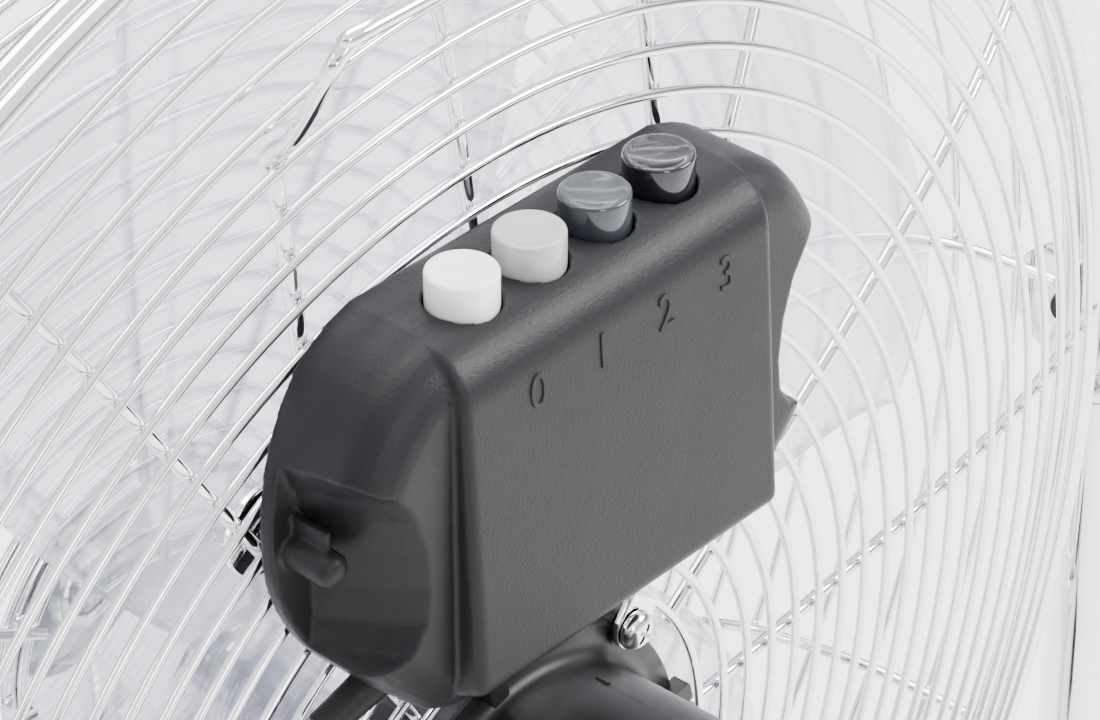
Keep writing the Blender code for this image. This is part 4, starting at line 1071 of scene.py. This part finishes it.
class FAN_OT_motor(Operator):
    """Turns the motor's rear cover with its ears and lugs, and drives in the screws"""
    bl_idname = "fan.motor"
    bl_label = "Motor"

    def execute(self, context):
        paint = finish("black_paint")
        inner, front = MOTOR_RADIUS - COVER_WALL, FLANGE_DEPTH + FLANGE_THICK
        bend, flare = COVER_END + COVER_CORNER, FLANGE_DEPTH - COVER_FLARE
        profile = [(0, COVER_END)]
        profile += [(MOTOR_RADIUS - COVER_CORNER + a, bend + b)
                    for a, b in arc((0, 0), COVER_CORNER, -90, 0, 12)]
        profile += [(MOTOR_RADIUS, flare)]
        profile += [(MOTOR_RADIUS + COVER_FLARE + a, flare + b)
                    for a, b in arc((0, 0), COVER_FLARE, 180, 90, 8)][1:]
        profile += [(FLANGE_RADIUS - 0.5, FLANGE_DEPTH), (FLANGE_RADIUS, FLANGE_DEPTH + 0.5),
                    (FLANGE_RADIUS, front), (inner, front), (inner, bend),
                    (inner - 6.0, COVER_END + COVER_WALL), (0, COVER_END + COVER_WALL)]
        cover = turned("motor_shell", profile, about_fan_axis, 96, paint)
        extras = []
        for turn in SCREW_TURNS:
            extras.append(turned("shell_ear", [(0, 9.75), (4.9, 9.75), (4.9, 12.4),
                                               (0, 12.4)], about_screw(turn), 40))
            extras.append(self.block("shell_lug", turn + LUG_TURN, 43.0, 49.8, 2.4, 7.0, 11.0))
        extras.append(self.block("shell_key", 108, 36.0, 40.5, 0.6, -1.6, 1.6))
        cover = combine(cover, extras, "UNION")
        hole = [(0, 7), (SCREW_HOLE, 7), (SCREW_HOLE, 16), (0, 16)]
        holes = [turned("shell_hole", hole, about_screw(turn), 24) for turn in SCREW_TURNS]
        cover = combine(cover, holes, "DIFFERENCE")
        dress(cover, paint)
        cover = baked(soften(cover, 0.35, 2, 40))
        shade(cover.data)
        settle(cover, "head", "black_paint", "motor_cover")
        self.screws()
        return {"FINISHED"}

    def block(self, name, turn, low, high, half, rear, front):
        """A small raised block on the shell's side."""
        angle = math.radians(turn)
        outline = [(low, -half), (high, -half), (high, half), (low, half)]
        return prism(name, rounded(outline, 1.0, 4), rear, front, lambda a, d, b: head(
            a * math.cos(angle) - b * math.sin(angle), d,
            a * math.sin(angle) + b * math.cos(angle)))

    def screws(self):
        """Four pan-head screws with crossed recesses."""
        about = lambda radius, angle, d: pattern_place(
            SCREW_CIRCLE + radius * math.cos(angle), d, radius * math.sin(angle))
        pattern = turned("pan_screw", [
            (0, 4.2), (1.6, 4.25), (2.8, 4.6), (3.7, 5.2), (4.25, 6.1), (4.4, 7.0),
            (4.3, 7.2), (1.9, 7.2), (1.9, 19.0), (0, 20.0)], about, 40,
            finish("chrome"))
        slots = []
        for wide, tall in ((2.3, 0.45), (0.45, 2.3)):
            outline = [(SCREW_CIRCLE - wide, -tall), (SCREW_CIRCLE + wide, -tall),
                       (SCREW_CIRCLE + wide, tall), (SCREW_CIRCLE - wide, tall)]
            slots.append(prism("recess", outline, 3.0, 5.6, pattern_place))
        pattern = combine(pattern, slots, "DIFFERENCE")
        screws = copies_round("motor_screws", pattern, 4, SCREW_TURNS[0], finish("chrome"))
        names = ["motor_screw_%d" % (number + 1) for number in range(4)]
        settle(screws, "head", "chrome", *names)


class FAN_OT_impeller(Operator):
    """Moulds the clear hub and its five broad blades"""
    bl_idname = "fan.impeller"
    bl_label = "Impeller"

    def execute(self, context):
        phase = context.scene.fan_sizes.blade_phase
        clear = finish("clear_plastic")
        hub = turned("impeller_hub", [
            (HUB_BORE, 48), (9, 48), (9, 78), (26, 78), (26, 56), (27.2, 54.4), (29, 54),
            (30.8, 54.6), (31.5, 56), (31.5, 82), (30.6, 84.6), (28, 86), (HUB_BORE, 86)],
            about_fan_axis, 72, clear)
        blades = [self.blade(number, phase + 2 * math.pi * number / BLADE_COUNT)
                  for number in range(BLADE_COUNT)]
        whole = combine(hub, blades, "UNION")
        dress(whole, clear)
        shade(whole.data, 50.0)
        settle(whole, "rotor", "clear_plastic", "impeller")
        spinner = turned("spinner_cap", [
            (0, 98), (3, 97.9), (6, 97.4), (9, 96.2), (12, 93.8), (13.5, 91.4), (14, 89),
            (14, 86.6), (13.7, 86.3), (HUB_BORE, 86.3), (HUB_BORE, 90), (0, 90)],
            about_fan_axis, 64, finish("chrome"))
        settle(spinner, "rotor", "chrome", "spinner")
        return {"FINISHED"}

    def blade(self, number, turn):
        """A thin twisted sheet with rounded outer corners."""
        across, out, thick = 26, 22, 0.9
        verts = []
        for side in (-1, 1):
            for i in range(across + 1):
                s = 2 * i / across - 1
                tip = BLADE_RADIUS - BLADE_CORNER * s ** 4
                for k in range(out + 1):
                    t = k / out
                    radius = BLADE_ROOT + (tip - BLADE_ROOT) * t
                    width = 0.44 + 0.05 * math.sin(math.pi * t)
                    angle = turn + 0.22 * t * t + s * width * (1.0 - 0.12 * t)
                    pitch = 14.0 + 8.0 * math.sin(math.pi * min(1.0, t + 0.1))
                    depth = 70.0 - s * pitch - 3.0 * t
                    bead = 1.0 + 1.1 * abs(s) ** 14 - 0.3 * t ** 12
                    verts.append(about_fan_axis(
                        radius, angle, depth + side * thick * bead))
        row, sheet = out + 1, (across + 1) * (out + 1)
        faces = []
        for i in range(across):
            for k in range(out):
                a = i * row + k
                quad = [a, a + 1, a + row + 1, a + row]
                faces += [quad, [sheet + corner for corner in quad]]
        border = list(range(row)) + [i * row + out for i in range(1, across + 1)]
        border += [across * row + k for k in range(out - 1, -1, -1)]
        border += [i * row for i in range(across - 1, 0, -1)]
        for a, b in zip(border, border[1:] + border[:1]):
            faces.append([a, b, sheet + b, sheet + a])
        return make("blade_%d" % number, verts, faces)


# ------------------------------------------------------------------ control box

def box_edge(inset=0.0):
    """The box's smooth outline, drawn in by inset, both halves."""
    widest, middle, tall = BOX_MIDDLE
    half = [(p.x, p.y) for p in smooth_route([(x, h, 0.0) for x, h in BOX_OUTLINE], 5)]
    drawn = [(x * (widest - inset) / widest, middle + (h - middle) * (tall - inset) / tall)
             for x, h in half]
    return drawn + [(-x, h) for x, h in reversed(drawn)]


def loft(name, sections, material=None):
    """Joins closed outlines with equal counts; the first and last are filled."""
    count = len(sections[0])
    verts = [point for section in sections for point in section]
    faces = [list(range(count)), list(range(len(verts) - count, len(verts)))]
    for k in range(len(sections) - 1):
        faces += [[k * count + i, k * count + (i + 1) % count,
                   (k + 1) * count + (i + 1) % count, (k + 1) * count + i]
                  for i in range(count)]
    return make(name, verts, faces, material)


def sideways(first, x, second):
    return head(x, first, second)


def button_x(number):
    return (1.5 - number) * BUTTON_PITCH


class FAN_OT_box(Operator):
    """Moulds the control box: shoulders, raised block, pockets, pegs and numerals"""
    bl_idname = "fan.box"
    bl_label = "Control box"

    def execute(self, context):
        shell = combine(self.shoulders(), [self.block()], "UNION")
        shell = combine(shell, self.hollows(), "DIFFERENCE")
        shell = combine(shell, self.pegs(), "UNION")
        grid = shell.modifiers.new("Even skin", "REMESH")
        grid.mode = "VOXEL"
        grid.voxel_size = context.scene.fan_sizes.box_grid
        relax = shell.modifiers.new("Moulded corners", "SMOOTH")
        relax.factor = 0.5
        relax.iterations = 4
        thin = shell.modifiers.new("Fewer faces", "DECIMATE")
        thin.ratio = 0.45
        shell = baked(shell, "control_box_shell")
        dress(shell, finish("black_plastic"))
        shell.data.shade_smooth()
        settle(shell, "head", "black_plastic", "control_box")
        for number in range(4):
            self.numeral(number)
        return {"FINISHED"}

    def shoulders(self):
        """The broad flat body, rounded over all round its rear edge."""
        sections = [[head(x, base_depth(h), h) for x, h in box_edge()]]
        for inset, depth in ((0.0, -3.0), (0.15, -4.6), (0.8, -6.8), (2.0, -8.9),
                             (3.6, -10.6), (5.6, -11.8), (7.6, -12.4),
                             (9.6, SHOULDER_DEPTH)):
            sections.append([head(x, depth, h) for x, h in box_edge(inset)])
        return loft("box_shoulders", sections)

    def block(self):
        """The raised middle that carries the buttons."""
        profile = [(7.9, BOX_TOP)]
        profile += arc((-3.2, BOX_TOP - BLOCK_ROUND), BLOCK_ROUND, 90, 176, 12)
        profile += [(-19.0, 75.4), (8.6, 61.5)]
        block = prism("box_block", profile, -BLOCK_HALF, BLOCK_HALF, sideways)
        return baked(soften(block, 2.0, 5, 50))

    def hollows(self):
        """Everything that is cut away: underside, pockets, grooves and holes."""
        below = [(30.0, 30.0), (30.0, 49.3), (8.6, 60.0), (-19.0, 73.8), (-40.0, 84.3),
                 (-40.0, 30.0)]
        tools = [prism("underside", below, -95.0, 95.0, sideways)]
        for side in (-1, 1):
            tools.append(self.pocket(side))
            groove = [(-30.0, 60.0), (-30.0, 160.0), (-10.8, 160.0), (-10.8, 60.0)]
            edge = side * (BLOCK_HALF + 0.45)
            tools.append(prism("side_groove", groove, edge - 0.45, edge + 0.45, sideways))
        for number in range(4):
            x = button_x(number)
            tools.append(turned("button_hole", [(0, 116.0), (7.35, 116.0), (7.35, 156.0),
                                                (0, 156.0)],
                                about_button(x), 64))
        return tools

    def pocket(self, side):
        """A hollow in the side whose wall leans in toward the rear."""
        rear = ((70.0, 132.5), (63.0, 129.5), (57.8, 125.2), (53.8, 118.8), (51.2, 110.5),
                (50.2, 101.5), (51.0, 94.0), (54.4, 89.0), (60.5, 86.0))
        front = ((68.0, 131.5), (65.5, 127.5), (62.8, 120.5), (60.6, 114.0), (59.8, 106.0),
                 (59.6, 98.0), (60.2, 91.0), (61.6, 85.5), (64.4, 81.0))
        sections = []
        for depth, share in ((None, 0.0), (2.0, 0.30), (-5.0, 0.58), (-9.0, 0.78),
                             (-11.0, 0.92), (-12.4, 1.06), (-14.0, 1.30), (-34.0, 1.5)):
            wall = self.between(front, rear, share)
            outline = [(84.0, wall[-1][1])] + list(reversed(wall)) + [(84.0, wall[0][1])]
            sections.append([head(side * x, base_depth(h) - 3.2 if depth is None
                                  else depth, h) for x, h in outline])
        return loft("side_pocket", sections)

    def between(self, first, second, share):
        return [(a[0] + (b[0] - a[0]) * share, a[1] + (b[1] - a[1]) * share)
                for a, b in zip(first, second)]

    def pegs(self):
        """A round peg with a thin web above it in each pocket."""
        parts = []
        for side in (-1, 1):
            x = side * PEG_X
            parts.append(turned("peg", [(0, -3.0), (1.6, -2.8), (2.8, -2.1), (3.4, -1.0),
                                        (3.5, 0.4), (3.5, 12.0), (0, 12.0)],
                                about_depth_line(x, PEG_HEIGHT), 40))
            web = [(0.6, PEG_HEIGHT + 2.5), (0.6, PEG_HEIGHT + 7.2),
                   (12.0, PEG_HEIGHT + 7.2), (12.0, PEG_HEIGHT + 2.5)]
            parts.append(prism("peg_web", web, x - 1.6, x + 0.2, sideways))
        return parts

    def numeral(self, number):
        """A fine raised figure on the rear face, under its button."""
        text = bpy.data.curves.new("numeral_%d" % number, "FONT")
        text.body = str(number)
        text.size = 1.0
        text.align_x = "CENTER"
        text.align_y = "CENTER"
        text.extrude = 0.05
        raised = baked(link("numeral_%d" % number, text))
        low = Vector([min(v.co[i] for v in raised.data.vertices) for i in range(3)])
        high = Vector([max(v.co[i] for v in raised.data.vertices) for i in range(3)])
        middle, tall = (low + high) / 2, high.y - low.y
        for vertex in raised.data.vertices:
            place = (vertex.co - middle) / tall * NUMERAL_TALL
            rise = NUMERAL_HEIGHT + place.y
            surface = -15.2 - (136.0 - rise) * 0.062
            lift = 0.34 if vertex.co.z > middle.z else -0.58
            vertex.co = head(NUMERAL_X[number] - place.x * 0.92, surface - lift, rise)
        shape = bmesh.new()
        shape.from_mesh(raised.data)
        bmesh.ops.remove_doubles(shape, verts=shape.verts[:], dist=1e-6)
        write_outwards(shape, raised.data)
        raised.data.materials.append(finish("black_plastic"))
        settle(raised, "head", "black_plastic")


class FAN_OT_buttons(Operator):
    """Turns the four glossy push buttons with dished tops and round stems"""
    bl_idname = "fan.buttons"
    bl_label = "Buttons"

    def execute(self, context):
        top = BUTTON_TOP
        for number, (slot, _, _) in enumerate(BUTTON_FINISHES):
            x = button_x(number)
            cap = turned("button_cap_%d" % number, [
                (0, 123.0), (2.9, 123.0), (2.9, 142.0), (6.4, 143.0), (7.0, 143.6),
                (7.0, top - 0.7), (6.9, top - 0.3), (6.7, top - 0.08), (6.4, top),
                (6.0, top - 0.03), (5.2, top - 0.2), (3.4, top - 0.42), (1.8, top - 0.52),
                (0, top - 0.56)],
                about_button(x), 64, finish(slot), 50)
            settle(cap, "button_%d_body" % number, slot, "button_%d" % number)
        return {"FINISHED"}


# ------------------------------------------------------------------ stand

class FAN_OT_stand(Operator):
    """Bends the chrome yoke and foot bars and fits feet, pivots and knobs"""
    bl_idname = "fan.stand"
    bl_label = "Stand"

    def execute(self, context):
        turn_up = YOKE_LEVEL + YOKE_BEND
        half = [(ARM_X, ARM_TOP), (ARM_X, 200.0), (ARM_X, 140.0), (ARM_X, turn_up)]
        half += arc((ARM_X - YOKE_BEND, turn_up), YOKE_BEND, 0, -90, 20)[1:]
        path = [world(-x, 0, z) for x, z in half]
        path += [world(x, 0, z) for x, z in reversed(half)]
        yoke = baked(tube("yoke_tube", path, TUBE_RADIUS, finish("chrome"), 40))
        settle(yoke, "stand", "chrome", "yoke")
        for side, label in ((-1, "right"), (1, "left")):
            self.foot_bar(side, label)
            self.pivot(side, label)
            self.knob(side, label)
        return {"FINISHED"}

    def foot_bar(self, side, label):
        x = side * BAR_X
        ends = [world(x, -BAR_END, BAR_HEIGHT), world(x, BAR_END, BAR_HEIGHT)]
        bar = baked(tube("foot_tube_" + label, ends, TUBE_RADIUS, finish("chrome"), 40))
        settle(bar, "stand", "chrome", "foot_bar_" + label)
        for outward, name in ((-1, "front"), (1, "rear")):
            ends = sorted((outward * (BAR_END - 26.0), outward * (BAR_END + 3.0)))
            outline = [(x - FOOT_RADIUS - 2.0, 0.0), (x + FOOT_RADIUS + 2.0, 0.0)]
            outline += arc((x, BAR_HEIGHT), FOOT_RADIUS, 0, 180, 24)
            foot = prism("foot_cap_%s_%s" % (name, label), outline, *ends, world,
                         finish("rubber"))
            deep, open_end = outward * (BAR_END + GAP), outward * (BAR_END - 31.0)
            bore = turned("foot_bore", [(0, open_end), (TUBE_RADIUS + 0.2, open_end),
                                        (TUBE_RADIUS + 0.2, deep), (0, deep)],
                          lambda r, a, y: world(x + r * math.cos(a), y,
                                                BAR_HEIGHT + r * math.sin(a)), 48)
            foot = combine(baked(soften(foot, 1.8, 4, 30)), [bore], "DIFFERENCE")
            shade(foot.data)
            settle(foot, "stand", "rubber", "foot_%s_%s" % (name, label))

    def pivot(self, side, label):
        """Flattened tang on the yoke's end, nylon washer and the cage's pivot lug."""
        def out(start, *profile):
            """The same profile to the left or the right, from a start along the axis."""
            return [(radius, side * (start + reach)) for radius, reach in profile]

        lug = turned("lug_turned_" + label, out(
            PIVOT_START, (PIVOT_BORE, 0), (15.4, 0), (16.0, 0.6), (16.0, 2.4), (15.4, 3.0),
            (9.4, 3.0), (8.0, 4.2), (8.0, 8.6), (7.6, LUG_LENGTH),
            (PIVOT_BORE, LUG_LENGTH)), about_tilt_axis, 64, finish("chrome"))
        settle(lug, "head", "steel", "pivot_lug_" + label)
        washer = PIVOT_START + LUG_LENGTH + GAP
        ring = turned("washer_turned_" + label, out(
            washer, (PIVOT_BORE, 0), (11.6, 0), (12.0, 0.4), (12.0, 1.8), (11.6, WASHER),
            (PIVOT_BORE, WASHER)), about_tilt_axis, 64, finish("nylon"))
        settle(ring, "stand", "nylon", "pivot_washer_" + label)
        near = washer + WASHER + GAP
        outline = arc((0.0, AXIS_HEIGHT), 12.0, 0, 180, 24)
        outline += [(-12.0, AXIS_HEIGHT - 14.0), (-8.6, ARM_TOP + 2.0),
                    (8.6, ARM_TOP + 2.0), (12.0, AXIS_HEIGHT - 14.0)]
        tang = prism("tang_plate_" + label, outline, side * near, side * (near + TANG),
                     lambda y, x, z: world(x, y, z))
        hole = turned("tang_hole", out(200, (0, 0), (PIVOT_BORE, 0), (PIVOT_BORE, 100),
                                       (0, 100)), about_tilt_axis, 40)
        tang = combine(baked(soften(tang, 0.8, 3, 40)), [hole], "DIFFERENCE")
        plug = turned("tang_end", [
            (0, -6), (6.4, -6), (6.4, 0.2), (7.9, 0.3), (7.9, 2.4), (7.0, 4.6), (4.0, 6.0),
            (0, 6.4)], lambda r, a, z: world(side * ARM_X + r * math.cos(a),
                                             r * math.sin(a), ARM_TOP + z), 40)
        tang = combine(tang, [plug], "UNION")
        dress(tang, finish("chrome"))
        shade(tang.data)
        settle(tang, "stand", "chrome", "tang_" + label)

    def knob(self, side, label):
        """A fluted clamping knob with a shallow dish in its face."""
        start = PIVOT_START + LUG_LENGTH + WASHER + TANG + 3 * GAP + 0.2

        def flute(angle, position):
            if abs(position) < start + 4.3:
                return 1.0
            return 1.0 - 0.15 * max(0.0, math.cos(6 * angle)) ** 3

        def at(radius, out):
            return radius, side * (start + out)

        profile = [at(0, -19.0), at(3.6, -19.0), at(4.0, -18.4), at(4.0, 0), at(8.6, 0),
                   at(9.0, 0.4), at(9.0, 4.2), at(16.6, 5.4), at(17.7, 6.3),
                   at(18.0, 7.6), at(18.0, 15.4), at(17.6, 17.2), at(16.4, 18.5),
                   at(14.6, 19.2), at(12.6, 19.2), at(11.8, 18.6), at(11.4, 17.8),
                   at(0, 17.4)]
        knob = turned("knob_fluted_" + label, profile, about_tilt_axis, 144,
                      finish("black_paint"), 35, flute)
        settle(knob, "knob_" + label, "black_plastic", "tilt_knob_" + label)


class FAN_OT_inner_parts(Operator):
    """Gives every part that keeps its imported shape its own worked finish"""
    bl_idname = "fan.inner_parts"
    bl_label = "Inner parts"

    def execute(self, context):
        finishes = {
            "box_plate": "black_paint", "box_screw_1": "steel", "box_screw_2": "steel",
            "switch_block": "nylon", "capacitor": "black_plastic", "motor_lead": "rubber",
            "motor_bell": "black_paint", "bearing_rear": "bronze",
            "bearing_front": "bronze", "stator_core": "steel", "rotor_core": "steel",
            "winding_rear": "copper", "winding_front": "copper", "shaft": "steel",
            "plug_pin_1": "brass", "plug_pin_2": "brass"}
        for node, name in finishes.items():
            part = bpy.data.objects[node]
            if not part.material_slots:
                part.data.materials.append(finish(name))
            for slot in part.material_slots:
                slot.material = finish(name)
        return {"FINISHED"}


# ------------------------------------------------------------------ panel and order

OPERATORS = (FAN_OT_stage, FAN_OT_cord, FAN_OT_cage, FAN_OT_handle, FAN_OT_motor,
             FAN_OT_impeller, FAN_OT_box, FAN_OT_buttons, FAN_OT_stand,
             FAN_OT_inner_parts)


class FAN_PT_builder(Panel):
    """Lists the fan's pieces, finishes and stage in the sidebar"""
    bl_idname = "FAN_PT_builder"
    bl_label = "Desk Fan"
    bl_space_type = "VIEW_3D"
    bl_region_type = "UI"
    bl_category = "Fan"

    def draw(self, context):
        column = self.layout.column(align=True)
        for group in ("fan_sizes", "fan_colours", "fan_studio"):
            settings = getattr(context.scene, group)
            for key in settings.bl_rna.properties.keys():
                if key not in ("rna_type", "name"):
                    column.prop(settings, key)
            column.separator()
        for operator in OPERATORS:
            column.operator(operator.bl_idname)


CLASSES = (FanColours, FanSizes, FanStudio, *OPERATORS, FAN_PT_builder)


def register():
    for item in CLASSES:
        bpy.utils.register_class(item)
    bpy.types.Scene.fan_colours = PointerProperty(type=FanColours)
    bpy.types.Scene.fan_sizes = PointerProperty(type=FanSizes)
    bpy.types.Scene.fan_studio = PointerProperty(type=FanStudio)


def unregister():
    for group in ("fan_studio", "fan_sizes", "fan_colours"):
        delattr(bpy.types.Scene, group)
    for item in reversed(CLASSES):
        bpy.utils.unregister_class(item)


def main():
    register()
    bpy.ops.fan.stage()
    bpy.ops.fan.cord()
    bpy.ops.fan.cage()
    bpy.ops.fan.handle()
    bpy.ops.fan.motor()
    bpy.ops.fan.impeller()
    bpy.ops.fan.box()
    bpy.ops.fan.buttons()
    bpy.ops.fan.stand()
    bpy.ops.fan.inner_parts()


if __name__ == "__main__":
    main()
